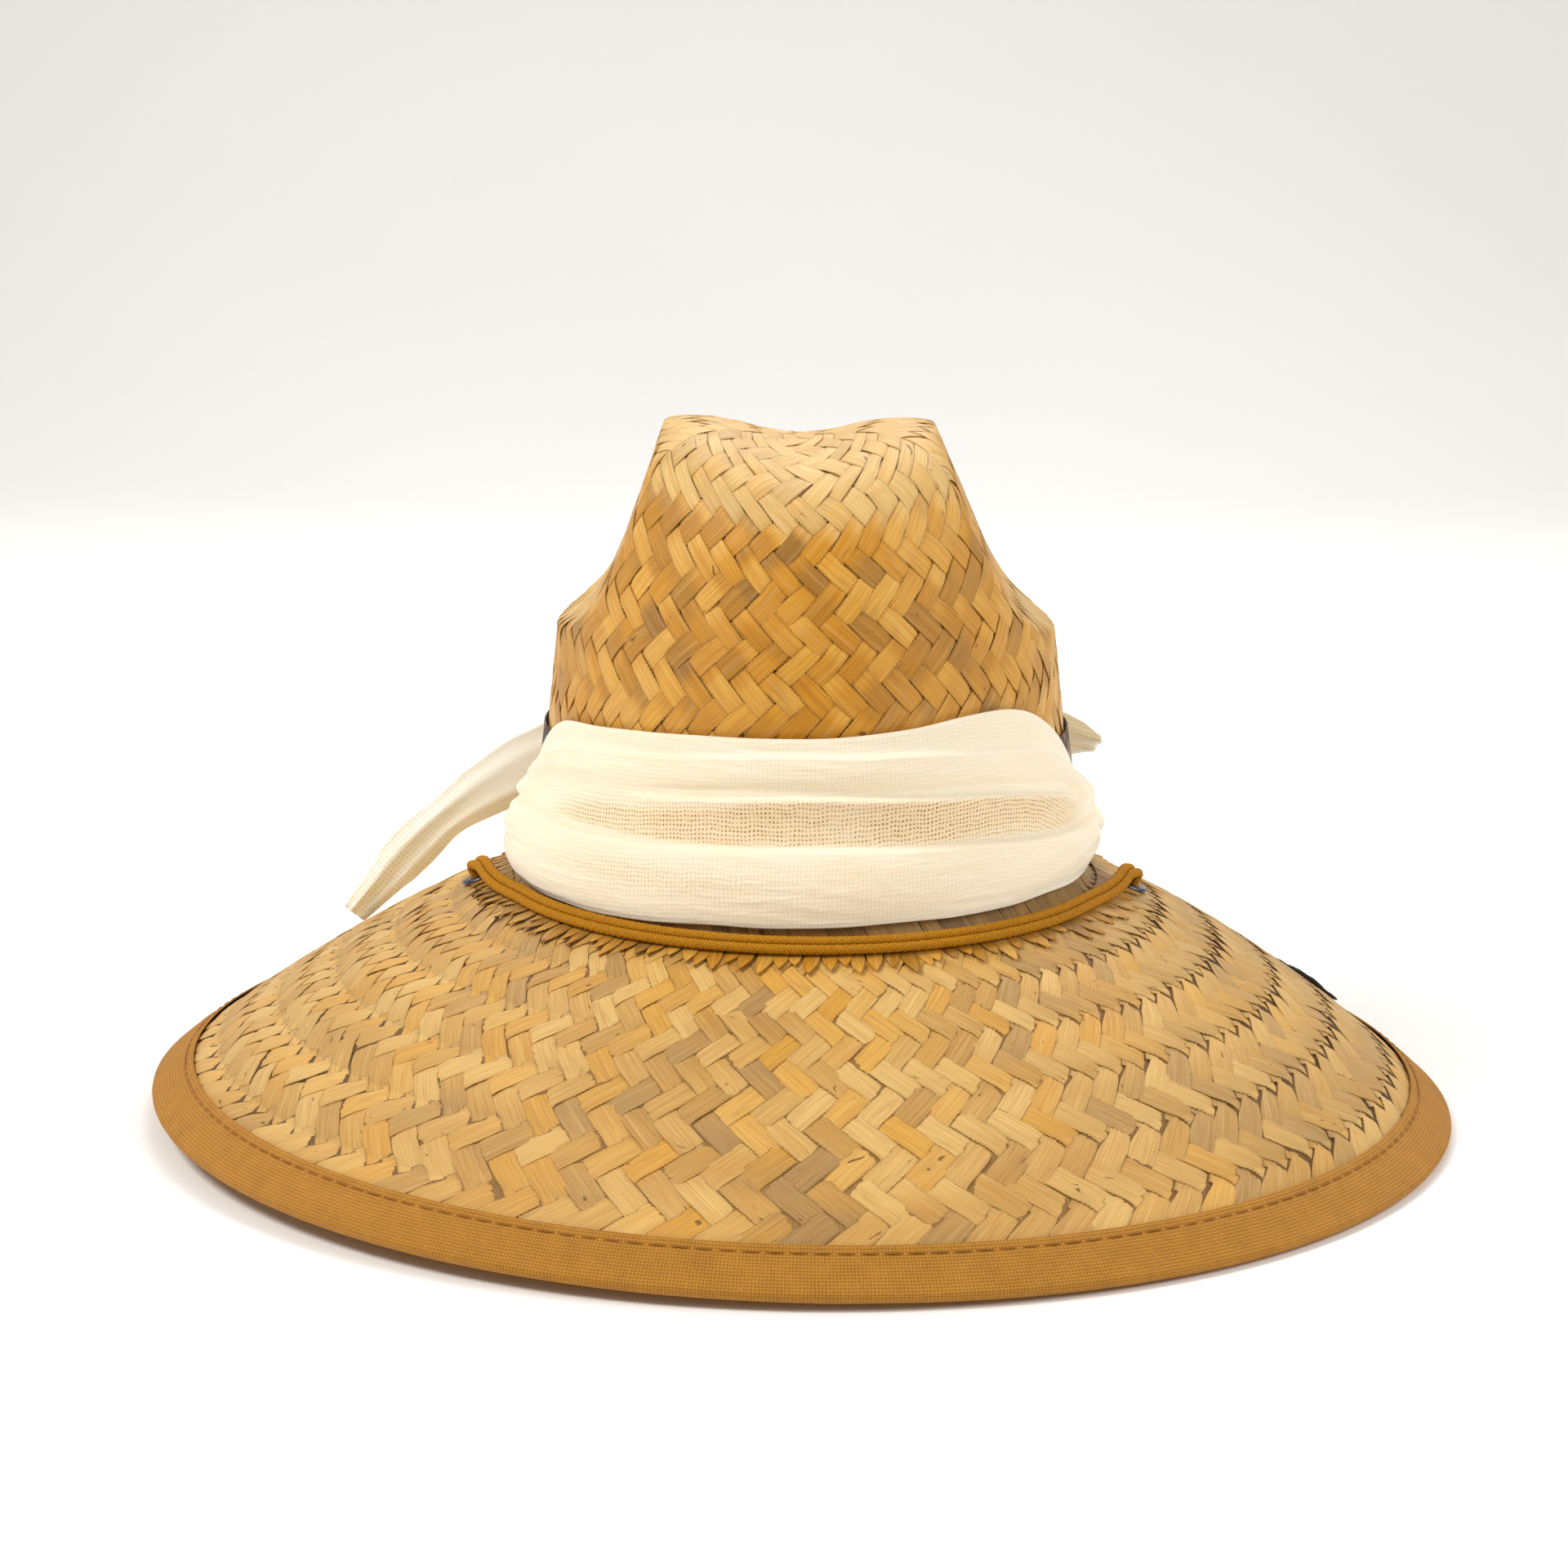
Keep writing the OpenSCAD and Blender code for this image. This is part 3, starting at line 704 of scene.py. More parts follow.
def weave_brim(sign, seed):
    """One family of brim strips; sign is 1 or -1 for the way it leans."""
    rng = np.random.default_rng(seed)
    s = np.linspace(-0.075, 0.982, BRIM_STATIONS)[None, :, None]
    sigma = BRIM_TURNS * s + BRIM_SHIFT
    late, first_gap, second_gap = (0.5, 0.5, 0.0) if sign > 0 else (2.5, 0.02, 0.16)
    i = np.arange(BRIM_STRIPS)[:, None, None]
    phase = 2 * sigma - sign * ACROSS - late
    at = (2 * sigma - late + 2) / 4 + 0 * i + 2
    mid_th = TAU * (i + 0.5 - sign * sigma) / BRIM_STRIPS
    side = np.abs(np.cos(mid_th)) ** 1.5
    turn = (sigma * 2 - late + 1) % 4
    taper = (0.10 + first_gap * side + 0.3 * bump_at(s, 0.03, 0.06)) * bump_at(turn, 0, 0.6)
    taper = taper + (0.05 + second_gap * side) * bump_at(turn, 2, 0.4)
    row = (sigma + 0.25) / 2 % 1        # 0 where open slits run round the sides, every second row
    row_end = bump_at(np.minimum(row, 1 - row), 0, 0.13)
    # Painted shade in the slits: at the sides, strip edges are drawn darker where rows end at open slits, and
    # lighter elsewhere.
    crisp = 1 + side * (0.16 * row_end - 0.18 * (1 - row_end))
    wide = 1.07 - 0.05 * side - taper + float_values(rng, at, 0.03)
    th = TAU * (i + 0.5 + ACROSS * wide + float_values(rng, at, 0.04) - sign * sigma) / BRIM_STRIPS
    p, n = brim_frame(th, s)
    lift = weave_lift(rng, at, phase)
    # Painted light and shade: the front of the brim is drawn amber, most near the cord, for light glowing
    # through the straw and the shade under the cord.
    facing = np.clip(-np.sin(mid_th), 0, 1)
    painted_amber = (0.75 * bump_at(s, 0.03, 0.075) + 0.12) * facing**0.7
    painted_amber = painted_amber + 0.14 * facing * ease((s - 0.5) / 0.4) + 0.05
    drift = smooth_noise(np.random.default_rng(70), (26, 9), mid_th / TAU * 26, 7 * s)
    tone = leaf_tone(rng, at[..., 0], painted_amber[..., 0], drift[..., 0])
    # At the sides the strips turn khaki, and each row is drawn darker towards the next slit: painted shade.
    tone = mix(tone, KHAKI, 0.5 * side) * (1 + side * (0.1 - 0.24 * row))
    # Painted shade: the strips darken towards the crown's foot, under the cord.
    shade = mix(0.6, 1, ease((s - 0.01) / 0.13))
    tone = tone * mix(shade, shade**0.5, 0.25)
    name = f"brim_weave_{'left' if sign > 0 else 'right'}"
    return strips(name, p, n, lift, tone, run_length(p[:, :, 1:3].mean(2)), crisp[..., 0])


def weave_shade_sheet():
    """A dark sheet inside the brim, seen only through the gaps between strips: painted shade in the gaps."""
    around, rows = 720, 48
    th = turn_angles(around)
    s = np.linspace(-0.07, 0.975, rows)
    s = np.broadcast_to(np.concatenate([s, s[::-1]]), (around, 2 * rows))
    p, n = brim_frame(th, s)
    lift = np.repeat([0.1, -0.1], rows) - STRAW_T / 2
    grain = stacked(s * SLANT, th * BRIM_HW, 0)
    # Painted shade, darkest at the left and right sides.
    tone = mix(srgb("#9A7238"), srgb("#3E260A"), (np.cos(th) ** 2 + 0 * s)[..., None])
    return sweep("brim_weave_core", (p + n * lift[:, None])[None], closed_path=True, flip=True,
                 attributes={"grain": grain, "tone": tone, "edge": 0 * s})


FRINGE = 132             # pointed ends round the foot of the crown
FRINGE_S = (0.02, 0.125)


def weave_fringe(seed):
    """Pointed straw ends that fan out over the brim from the foot of the crown."""
    rng = np.random.default_rng(seed)
    shape = (FRINGE, 1, 1)
    k = np.linspace(0, 1, 16)[None, :, None]
    i = np.arange(FRINGE)[:, None, None] + rng.uniform(-0.22, 0.22, shape)
    point = (1 - k**2.4) ** 0.8 * (0.75 + 0.25 * np.sin(math.pi * k)) + 0.02
    lean = rng.uniform(-0.35, 0.35, shape) * k**1.5
    th = TAU * (i + 0.5 + lean + 1.15 * ACROSS * point) / FRINGE
    p, n = brim_frame(th, mix(FRINGE_S[0], FRINGE_S[1] + rng.uniform(-0.035, 0.02, shape), k))
    curl = rng.uniform(0.25, 0.8, shape) * ease((k - 0.45) / 0.55)
    lift = -0.3 + curl + 0.12 * (np.arange(FRINGE) % 2)[:, None, None] + 0.5 * ACROSS * k
    facing = np.clip(-np.sin(th[..., 1]), 0, 1)
    # Painted light and shade: the fringe that faces the front is drawn amber, and each point darkens towards
    # its root at the crown's foot.
    tone = leaf_tone(rng, k[..., 0] * 0.7 + 0 * facing, np.clip(0.25 + 0.75 * facing, 0, 1))
    tone = tone * mix(0.55, 0.95, ease(k))
    return strips("brim_fringe", p, n, lift, tone, k[..., 0] * 12 + 0 * facing)


SIDE_STRIPS = 15         # strips across each side of the crown's square top
ROW_H = 10.2             # height of one row of floats on the crown
CROWN_FOOT = 8           # height at which the crown's own strips begin
CROWN_STATIONS = 380     # sections along one strip


def weave_crown(seed):
    """Strips that climb the crown's wall, cut across one corner of its square top and go down again."""
    rng = np.random.default_rng(seed)
    shape = CrownMap()
    count = 4 * SIDE_STRIPS
    corner = (np.arange(count) // SIDE_STRIPS)[:, None, None]
    m = (np.arange(count) % SIDE_STRIPS)[:, None, None]
    foot_t = np.interp(-CROWN_FOOT, -shape.p[:, :, 2].mean(1), shape.t)
    wall = 2 * (foot_t / ROW_H - SIDE_STRIPS / 2)
    x = np.linspace(-1, 1, CROWN_STATIONS)[None, :, None] * (wall + m + 0.5)
    phase = np.abs(x) - m - 1
    at = (phase + np.where(x < 0, 2.0, 0.0) + 2) / 4 + np.where(x < 0, 3, 16)
    boundary = (phase / 2 + 0.5) % 1
    taper = 0.07 * bump_at(np.minimum(boundary, 1 - boundary), 0, 0.12)
    wide = 1.0 - taper + float_values(rng, at, 0.03)
    a = m + 0.5 + ACROSS * wide + float_values(rng, at, 0.035)
    h = (np.abs(x) - a) / 2
    ring = np.maximum(SIDE_STRIPS / 2 + h, 1e-3)
    f_top = (SIDE_STRIPS - a) / (2 * ring)
    f_wall = (SIDE_STRIPS - a - h) / SIDE_STRIPS
    f = np.where(h < 0, f_top, f_wall)
    f = np.where(x < 0, corner + f, corner + 2 - f) / 4
    p, n = shape.read(f, ring * ROW_H)
    lift = weave_lift(rng, at, phase, -np.tanh(5 * x))
    mid = p[:, :, 1:3].mean(2)
    front = np.clip((-mid[..., 1] - 10) / 60, 0, 1)
    middle = bump_at(mid[..., 0], 4, 46)
    # Painted highlight: where the top faces up its strips are drawn paler and lose the amber.
    high = ease((n[:, :, 1:3, 2].mean(2) - 0.47) / 0.2)
    # Painted light and shade: the front of the crown, most in its middle, is drawn amber for light glowing
    # through the straw and its darker shade.
    painted_amber = (0.35 + 0.65 * ease(front) * (0.35 + 0.65 * middle)) * (1 - 0.9 * high)
    tone = leaf_tone(rng, at[..., 0], np.clip(painted_amber, 0, 1))
    tone = mix(tone, PALE, (0.55 * high)[..., None])
    return strips("crown_weave", p, n, lift, tone, run_length(mid))


place(weave_crown(11), "hat", "straw", STRAW, "straw_crown")
for leaves in (weave_brim(1, 23), weave_brim(-1, 37), weave_shade_sheet(), weave_fringe(61)):
    place(leaves, "hat", "straw", STRAW, "straw_brim")

# ---------- binding ----------

TAPE_W = 15              # width of each face of the folded tape
TAPE_T = 0.6
TAPE_GAP = 0.15          # gap between the tape and the straw
STITCHES = 190
STITCH_SHARE = 0.84      # length of a stitch as a share of the step to the next
STITCH_IN = 2.8          # distance of the stitch line from the tape's inner edge


def waviness(rng, around, th, rows=2, row=0):
    """Smooth random values in -1..1 that close round the hat."""
    return smooth_noise(rng, (around, rows), th / TAU * around, row + th * 0)


def brim_off(th, d, h):
    """Point at distance d in from the brim's edge, h above its upper face."""
    p, n = brim_frame(th, 1 - d / SLANT)
    return p + n * np.asarray(h, float)[..., None]


def make_binding():
    """Tape folded over the brim's edge, pulled in along its stitches."""
    rng = np.random.default_rng(5)
    th = turn_angles(8 * STITCHES)
    top = TAPE_GAP + TAPE_T
    low = -STRAW_T - TAPE_GAP - TAPE_T
    mid, half = (top + low) / 2, (top - low) / 2
    ins = np.array([TAPE_W, TAPE_W - 0.5, TAPE_W - STITCH_IN + 1, TAPE_W - STITCH_IN, TAPE_W - STITCH_IN - 1,
                    9.5, 6, 2.5, 1.0])
    nose = np.radians(np.linspace(75, -75, 7))
    d = np.concatenate([ins, -0.8 * np.cos(nose) + 0.3, ins[::-1]])
    h = np.concatenate([np.full(9, top), mid + half * np.sin(nose), np.full(9, low)])
    h[0] -= 0.35
    h[-1] += 0.35
    dip = np.zeros(len(d))
    dip[[2, 3, 4]] = [0.3, 1.0, 0.3]
    dip[[-5, -4, -3]] = [-0.3, -1.0, -0.3]
    pucker = 0.5 - 0.5 * np.cos(th * STITCHES)
    ripple = waviness(rng, 90, th, 40, np.arange(len(d)) * 1.3)
    height = h - 0.28 * dip * (0.55 + 0.45 * pucker) + 0.12 * ripple
    bulge = bump_at(d, 6, 4) * np.sign(h - mid)
    height = height + 0.18 * bulge * (0.6 + 0.4 * waviness(rng, 190, th))
    outer = brim_off(th, d, height)
    inner_d = np.array([TAPE_W - 0.1, 8, 1.2, 0.5, 1.2, 8, TAPE_W - 0.1])
    inner_h = np.repeat([-STRAW_T - TAPE_GAP, mid, TAPE_GAP], [3, 1, 3])
    rings = np.concatenate([outer, brim_off(th, inner_d, inner_h)], 1)
    arc = th * (BRIM_HW + BRIM_HL) / 2
    drop = run_length(rings)
    bias = stacked(arc + drop, arc - drop, 0) * 0.7071
    return sweep("brim_binding_tape", rings[None], closed_path=True, attributes={"cloth": bias}, sharp=60,
                 flip=True)


def stitch_row(name, point, count, length_share, r=0.3, sag=0.25, start=0.0):
    """Short threads whose ends dip into the cloth; point(angle, rise) gives places on its face."""
    th = (np.arange(count)[:, None] + start + np.linspace(0, length_share, 7)) * TAU / count
    k = np.linspace(-1, 1, 7) + 0 * th
    rings = tube_rings(point(th, r * 0.55 - sag * k**4), r * (1 - 0.35 * np.abs(k) ** 3), 8, 0.8)
    grain = stacked((th * 200)[..., None], np.arange(8) * 0.2, (np.arange(count) * 3.3)[:, None, None])
    return sweep(name, rings, attributes={"grain": grain})


place(make_binding(), "hat", "tape", TAPE, "brim_binding")
top_face = TAPE_GAP + TAPE_T - 0.2
for word, start, level in (("top", 0, lambda rise: rise + top_face),
                           ("under", 0.5, lambda rise: -rise - STRAW_T - top_face)):
    row = stitch_row(f"binding_stitches_{word}",
                     lambda th, rise: brim_off(th, TAPE_W - STITCH_IN + 0 * th, level(rise)),
                     STITCHES, STITCH_SHARE, start=start)
    place(row, "hat", "thread", THREAD, "binding_stitches")

# ---------- rings of cloth round the crown ----------


def wall_frame(th, z, off):
    """Point at a distance off the crown's wall, at angle th and height z."""
    along = wall_at(th + 0.004, z) - wall_at(th - 0.004, z)
    up = wall_at(th, z + 0.5) - wall_at(th, z - 0.5)
    return wall_at(th, z) + unit(np.cross(along, up)) * np.asarray(off, float)[..., None]


def cloth_ring(name, th, z, off, around_mm, flip=False, sharp=60, extra=None):
    """A closed ring of cloth: z and off run round the hat and round the ring's section."""
    rings = wall_frame(th, z, off)
    attributes = {"cloth": stacked(th * around_mm, run_length(rings), 0), **(extra or {})}
    return sweep(name, rings[None], closed_path=True, attributes=attributes, sharp=sharp, flip=flip)


def make_sweatband():
    """A folded cotton band inside the crown's foot."""
    rng = np.random.default_rng(8)
    th = turn_angles(720)
    low, high = sweat_lo[2] - 0.3, sweat_hi[2]
    z = np.array([low, low - 0.2, low + 1.0, low + 4, low + 12, low + 20, high - 3, high - 0.4,
                  high, high - 0.4, high - 3, low + 16, low + 3])
    off = -STRAW_T - np.array([0.35, 0.9, 1.35, 1.15, 1.25, 1.3, 1.35, 1.4, 1.0, 0.5, 0.4, 0.35, 0.35])
    corner = np.arange(len(z))
    off = off - 0.25 * (waviness(rng, 36, th, 14, corner * 0.8) * 0.5 + 0.5) * (corner < 9)
    return cloth_ring("sweatband_cloth", th, z, off, BASE_HW - 5)


def make_ribbon():
    """A flat printed ribbon round the outside of the crown's foot."""
    th = turn_angles(720)
    low, high = band_lo[2], band_hi[2]
    z = np.array([low, low + 0.5, *np.linspace(low + 4, high - 4, 6), high - 0.5, high, high - 0.5,
                  (low + high) / 2, low + 0.5])
    off = np.array([0.35, 0.75, 0.85, 0.9, 0.92, 0.92, 0.9, 0.85, 0.75, 0.35, 0.15, 0.15, 0.15])
    corner = np.arange(len(z))
    off = off + 0.2 * waviness(np.random.default_rng(4), 40, th, 14, corner * 0.7) * (corner < 9)
    return cloth_ring("printed_ribbon_band", th, z, off, BASE_HW + 6, flip=True)


SWEAT_STITCHES = 150
place(make_sweatband(), "hat", "sweatband", SWEAT, "sweatband")
row = stitch_row("sweatband_stitching",
                 lambda th, rise: wall_frame(th, sweat_lo[2] + 3 + 0 * th, -rise - STRAW_T - 1.3),
                 SWEAT_STITCHES, 0.7)
place(row, "hat", "thread", THREAD, "sweatband_stitches")
place(make_ribbon(), "hat", "ribbon", RIBBON, "hat_band")
TACKS = 8
for word, tack_z in (("low", band_lo[2] + 2), ("high", band_hi[2] - 2)):
    row = stitch_row(f"ribbon_tacks_{word}", lambda th, rise: wall_frame(th, tack_z + 0 * th, rise + 0.8),
                     TACKS, 0.035, start=0.48)
    place(row, "hat", "thread", DARK_THREAD, "hat_band_tacks")

# ---------- scarf ----------

# Heights above the brim's root at angles in degrees from the front.
SCARF_TOP = {-180: 32, -130: 34, -105: 27, -92: 25, -80: 38, -69: 52, -60: 54.5, -37: 57.5, 0: 60, 25: 61.5,
             40: 63.5, 52: 62, 62: 57, 74: 44, 88: 27, 105: 28, 130: 33, 180: 32}
SCARF_FOOT = {-180: 10, -125: 9, -95: 3, -68: 0.4, -46: 1.2, -10: 3.6, 20: 4.6, 45: 5.2, 72: 5, 95: 5.4,
              125: 9, 180: 10}
PLEATS = (
    {-180: 28, -95: 26, -62: 48, -45: 49.5, 0: 55.5, 42: 52, 55: 51, 75: 39, 95: 24, 180: 28},
    {-180: 22, -95: 21, -70: 34, -30: 39, 0: 42.5, 40: 39, 65: 34, 90: 21, 180: 22},
    {-180: 16, -95: 17, -76: 22, -45: 24.2, 0: 26.5, 35: 24.7, 62: 21, 78: 18, 92: 15.5, 180: 16})


def rounded_line(table, phi):
    """A smooth closed line through heights given at angles."""
    taps = np.linspace(-9, 9, 13)
    return sum(np.interp((phi + tap + 180) % 360 - 180, list(table), list(table.values())) / len(taps)
               for tap in taps)


def bulge_between(z, high, low):
    """1 halfway between two lines and 0 on both of them."""
    return np.sin(np.clip((high - z) / (high - low), 0, 1) * math.pi)


def make_scarf():
    """One wrap of gauze with three long pleats in front, gathered into a rope behind.
    Heights z run from its top edge to its foot, and off is how far it stands off the crown."""
    rng = np.random.default_rng(31)
    th = turn_angles(900)
    w = np.linspace(0, 1, 150)
    phi = (np.degrees(th - FRONT) + 180) % 360 - 180
    sway = waviness(rng, 26, th)
    top = rounded_line(SCARF_TOP, phi) + 0.5 * sway
    foot = rounded_line(SCARF_FOOT, phi) + 0.45 * waviness(rng, 30, th)
    lines = [rounded_line(table, phi) + 0.5 * waviness(rng, 22, th) for table in PLEATS]
    z = mix(top, foot, w)
    front = ease((100 - np.abs(phi)) / 25)
    ends = ease((np.abs(phi) - 45) / 45)

    # the three pleats: each has a lip, and the cloth rolls or swells below it
    d1, d2, d3 = (line - z for line in lines)
    lip1 = ease((d1 + 1.0) / 2.2)
    roll = 1.7 * lip1 * np.exp(-np.maximum(d1 - 1.2, 0) / 9)
    roll = roll * (0.75 + 0.35 * np.sin(np.radians(phi) * 3 + 0.6))
    roll = roll + 0.7 * np.sin(np.clip(d1 / np.maximum(lines[0] - lines[1], 2), 0, 1) * math.pi) ** 2
    dip = -1.7 * bump_at(d2, -1.3, 1.7) * ease((phi + 42) / 30) * ease((80 - phi) / 20)
    left2 = ease((phi + 45) / 25)
    lip2 = left2 * ease((d2 + 0.4) / 1.5) * (2.3 * np.exp(-np.maximum(d2 - 1.0, 0) / 7.5))
    lip3 = ease((d3 + 0.9) / 1.7)
    belly = np.clip(d3 / np.maximum(lines[2] - foot, 1), 0, 1)
    swell = lip3 * (3.1 + 2.6 * ends + 1.3 * np.sin(np.clip(belly * 1.1, 0, 1) * math.pi) ** 0.8
                    - (2.9 + 2.0 * ends) * belly ** mix(2.2, 7, ease((-phi - 35) / 30)))
    pleats = 1.9 + roll * (1 - 0.55 * lip3) + dip + lip2 * (1 - 0.4 * lip3) + swell
    back_w = np.clip((z - foot) / np.maximum(top - foot, 1), 0, 1)
    rope = 2.2 + 5.2 * np.sin(back_w * math.pi) ** 0.6 + np.sin(back_w * TAU * 3 + 1.5 * sway)
    rope = rope + 0.7 * np.sin(back_w * TAU * 5.3 + 2.2 * sway + 1)
    off = mix(rope, pleats, front)

    # wrinkles that run along the wrap and fan out from its ends
    lengthwise = waviness(rng, 20, th, 60, z * 0.62 + 2.2 * np.sin(np.radians(phi) * 2.3))
    fan = (z - 22) * (1 + 0.9 * ends) + 0.18 * np.abs(phi)
    creases = 1 - np.abs(smooth_noise(rng, (20, 90), th / TAU * 20 + 0.04 * z, fan * 0.36 + 30))
    small = waviness(rng, 90, th, 80, z * 0.9 + 0.02 * phi)
    off = off + (0.12 + 0.08 * ends) * lengthwise + 0.08 * small
    off = off + (0.12 + 0.14 * ends * front) * (creases**7 - 0.3)

    # lobes where the pleats bunch up at the right end, and the pinch between them
    right = ease((phi - 42) / 30) * ease((96 - phi) / 14)
    upper, middle = bulge_between(z, top, lines[1]), bulge_between(z, lines[1], lines[2])
    off = off + right * (1.5 * upper**0.7 + 1.3 * middle**0.7 - 1.1)
    off = off - 1.2 * bump_at(phi, 51, 7) * bump_at(z, 53, 4) + 1.5 * bump_at(phi, 62, 7) * bump_at(z, 49, 5)
    edge_mm = np.minimum(top - z, z - foot)
    off = 1.5 + (np.maximum(off, 1.7) - 1.5) * (0.4 + 0.6 * ease(np.clip(edge_mm, 0, 9) / 1.6))

    # where the gauze lies in one layer and the straw shows through
    open_side = mix(3.4, 1.1, ease((phi + 30) / 30))
    sheer = np.exp(-np.maximum(0, 2.2 + 1.5 * open_side - 1.65 - d2) / open_side)
    sheer = sheer * np.exp(-np.maximum(0, d3 + 2.2) / 0.9) * (0.8 + 0.2 * waviness(rng, 40, th, 30, z))
    sheer = sheer * ease((phi + 72) / 25) * ease((84 - phi) / 22)
    lips = bump_at(d1, 0, 1.6) + bump_at(d3, 0.4, 2.0) + left2 * bump_at(d2, 0, 1.0)
    thin = np.clip(0.14 - 0.14 * lips, 0, 1) * front * ease((80 - np.abs(phi)) / 45)
    thin = thin + 0.3 * bump_at(z, 15, 4.5) * bump_at(phi, -33, 20)

    inside = np.linspace(1, 0, 14)
    z = np.concatenate([z, mix(top, foot, inside)], 1)
    off = np.concatenate([off, 1.25 + 0 * th * inside], 1)
    sheer = np.concatenate([np.clip(np.maximum(sheer, thin), 0, 1), 0 * th * inside], 1)
    return cloth_ring("scarf_gauze_wrap", th, z, off, BASE_HW + 8, flip=True, sharp=None,
                      extra={"sheer": sheer})


place(make_scarf(), "hat", "gauze", GAUZE, "scarf_wrap")

KNOT = (knot_lo + knot_hi) / 2


def folded_rope(name, path, wide, deep, way, folds, seed):
    """Cloth bunched into a rope: path is a list of points; wide lies along way, deep across it."""
    rng = np.random.default_rng(seed)
    centre = smooth_path(path, 0.7)
    k = np.linspace(0, 1, len(centre))[:, None]
    t = unit(np.gradient(centre, axis=0))
    side = unit(way - (t * way).sum(-1, keepdims=True) * t)
    up = np.cross(t, side)
    a = turn_angles(140).T
    w, d = read_path(k[:, 0], np.linspace(0, 1, len(wide)), np.transpose([wide, deep])).T[..., None]
    r = 1 + 0.075 * np.sin(folds * a + 2.2 * k) + 0.05 * np.sin((folds * 1.7 // 1) * a - 3 * k + 1)
    r = r + 0.04 * smooth_noise(rng, (12, 16), k * 9 + 0 * a, a / TAU * 16)
    rings = (centre[:, None] + (w * r * np.cos(a))[..., None] * side[:, None]
             + (d * r * np.sin(a))[..., None] * up[:, None])
    cloth = stacked(k * 0.7 * len(centre), a * 9, 0)
    return sweep(name, rings[None], attributes={"cloth": cloth, "sheer": 0.08 + 0 * r})


KX, KY, KZ = KNOT
SIDE_WAY, UP_WAY = np.array([1.0, 0, 0]), np.array([0, 0, 1.0])
arch = np.radians(np.linspace(-125, 125, 9))
over = [[KX + 1.2 * math.sin(2 * a), KY - 3 + 6.6 * math.cos(a), KZ + 7.6 * math.sin(a)] for a in arch]
through = [[KX - 23, KY - 9, KZ - 2.5], [KX - 14, KY - 4.5, KZ - 1], [KX, KY - 2, KZ],
           [KX + 14, KY - 4.5, KZ + 1.5], [KX + 23, KY - 9, KZ + 2.5]]
for rope in (
        folded_rope("scarf_knot_over", over, [6.5, 7.6, 8.2, 7.6, 6.5], [2.6, 3.2, 3.4, 3.2, 2.6], SIDE_WAY,
                    folds=7, seed=51),
        folded_rope("scarf_knot_through", through, [5, 8.2, 6.2, 8.2, 5], [2.5, 5.2, 4.2, 5.2, 2.5], UP_WAY,
                    folds=8, seed=52)):
    place(rope, "hat", "gauze", GAUZE, "scarf_knot")


def make_tail(name, stations, seed):
    """A free end of the scarf, folded lengthwise: stations are centre, half width, width direction."""
    rng = np.random.default_rng(seed)
    points, halves, ways = zip(*stations)
    centre = smooth_path(points, 1.6)
    k = np.linspace(0, 1, len(centre))
    given = np.linspace(0, 1, len(stations))
    half = np.interp(k, given, halves)
    way = unit(read_path(k, given, ways))
    t = unit(np.gradient(centre, axis=0))
    n = unit(np.cross(t, way))
    way = np.cross(n, t)
    kk, cc = k[:, None], np.linspace(-1, 1, 40)[None]
    gather = 1 - ease(kk / 0.45)
    wave = (0.55 + 0.9 * gather) * np.sin(cc * 6 + 2.2 * kk + 0.6) + 1.3 * np.sin(cc * 2.4 - 4 * kk + 1.2)
    wave = wave + 0.4 * smooth_noise(rng, (16, 14), kk * 9, (cc + 1) * 3, wrap=False)
    wave = wave + 9 * np.maximum(0, -cc - 0.45) ** 2 * ease((kk - 0.45) / 0.3)
    edge = 0.9 * smooth_noise(rng, (12, 2), kk * 11, kk * 0, wrap=False)
    spread = cc * (half[:, None] + edge * np.abs(cc))
    frayed = 0.35 * smooth_noise(rng, (60, 2), (cc + 1) * 9, cc * 0, wrap=False) * ease((kk - 0.93) / 0.07)
    base = centre[:, None] + way[:, None] * spread[..., None] + t[:, None] * frayed[..., None]
    out = base + n[:, None] * (wave + 0.35)[..., None]
    back = base + n[:, None] * (wave - 0.35)[..., None]
    rings = np.concatenate([out, back[:, ::-1]], 1)
    y = np.concatenate([spread, spread[:, ::-1]], 1)
    # The sheer share rises towards the tip: painted tan shade on the tail's lower half.
    return sweep(name, rings[None], attributes={"cloth": stacked(run_length(centre)[:, None], y, 0),
                                               "sheer": 0.3 * ease((kk - 0.5) / 0.45) + 0 * y})


TAIL_X = 15              # the tails start this far to each side of the knot's middle
LONG_TAIL = [
    ([-TAIL_X, KY, KZ + 1], 7, [0, 0, 1]),
    ([-40, KY - 7, KZ + 1], 12, [0, 0.1, 1]),
    ([-68, KY - 25, KZ - 1], 15, [-0.1, 0.1, 1]),
    ([-92, KY - 44, KZ - 6], 15.5, [-0.22, 0.1, 1]),
    ([-106, KY - 53, KZ - 12], 11.5, [-0.35, 0.1, 1]),
    ([-118, KY - 57, KZ - 20], 9, [-0.5, 0.1, 0.9]),
    ([-130, KY - 59, KZ - 31], 7.5, [-0.62, 0.1, 0.75]),
    ([-140, KY - 60, KZ - 43], 7.5, [-0.62, 0.1, 0.75]),
    ([-149, KY - 61, KZ - 53], 4, [-0.55, 0.1, 0.8])]
SHORT_TAIL = [
    ([TAIL_X, KY, KZ + 1], 7, [0, 0, 1]),
    ([40, KY - 7, KZ + 5], 10, [0, 0.1, 1]),
    ([62, KY - 22, KZ + 8], 10, [0.1, 0.1, 1]),
    ([80, KY - 41, KZ + 8], 8, [0.2, 0.1, 1]),
    ([96, KY - 57, KZ + 6], 4, [0.3, 0.1, 1])]
place(make_tail("scarf_long_end", LONG_TAIL, 41), "tail_long", "gauze", TAILS_PAINTED_LIGHT_GAUZE, "scarf_tail_long")
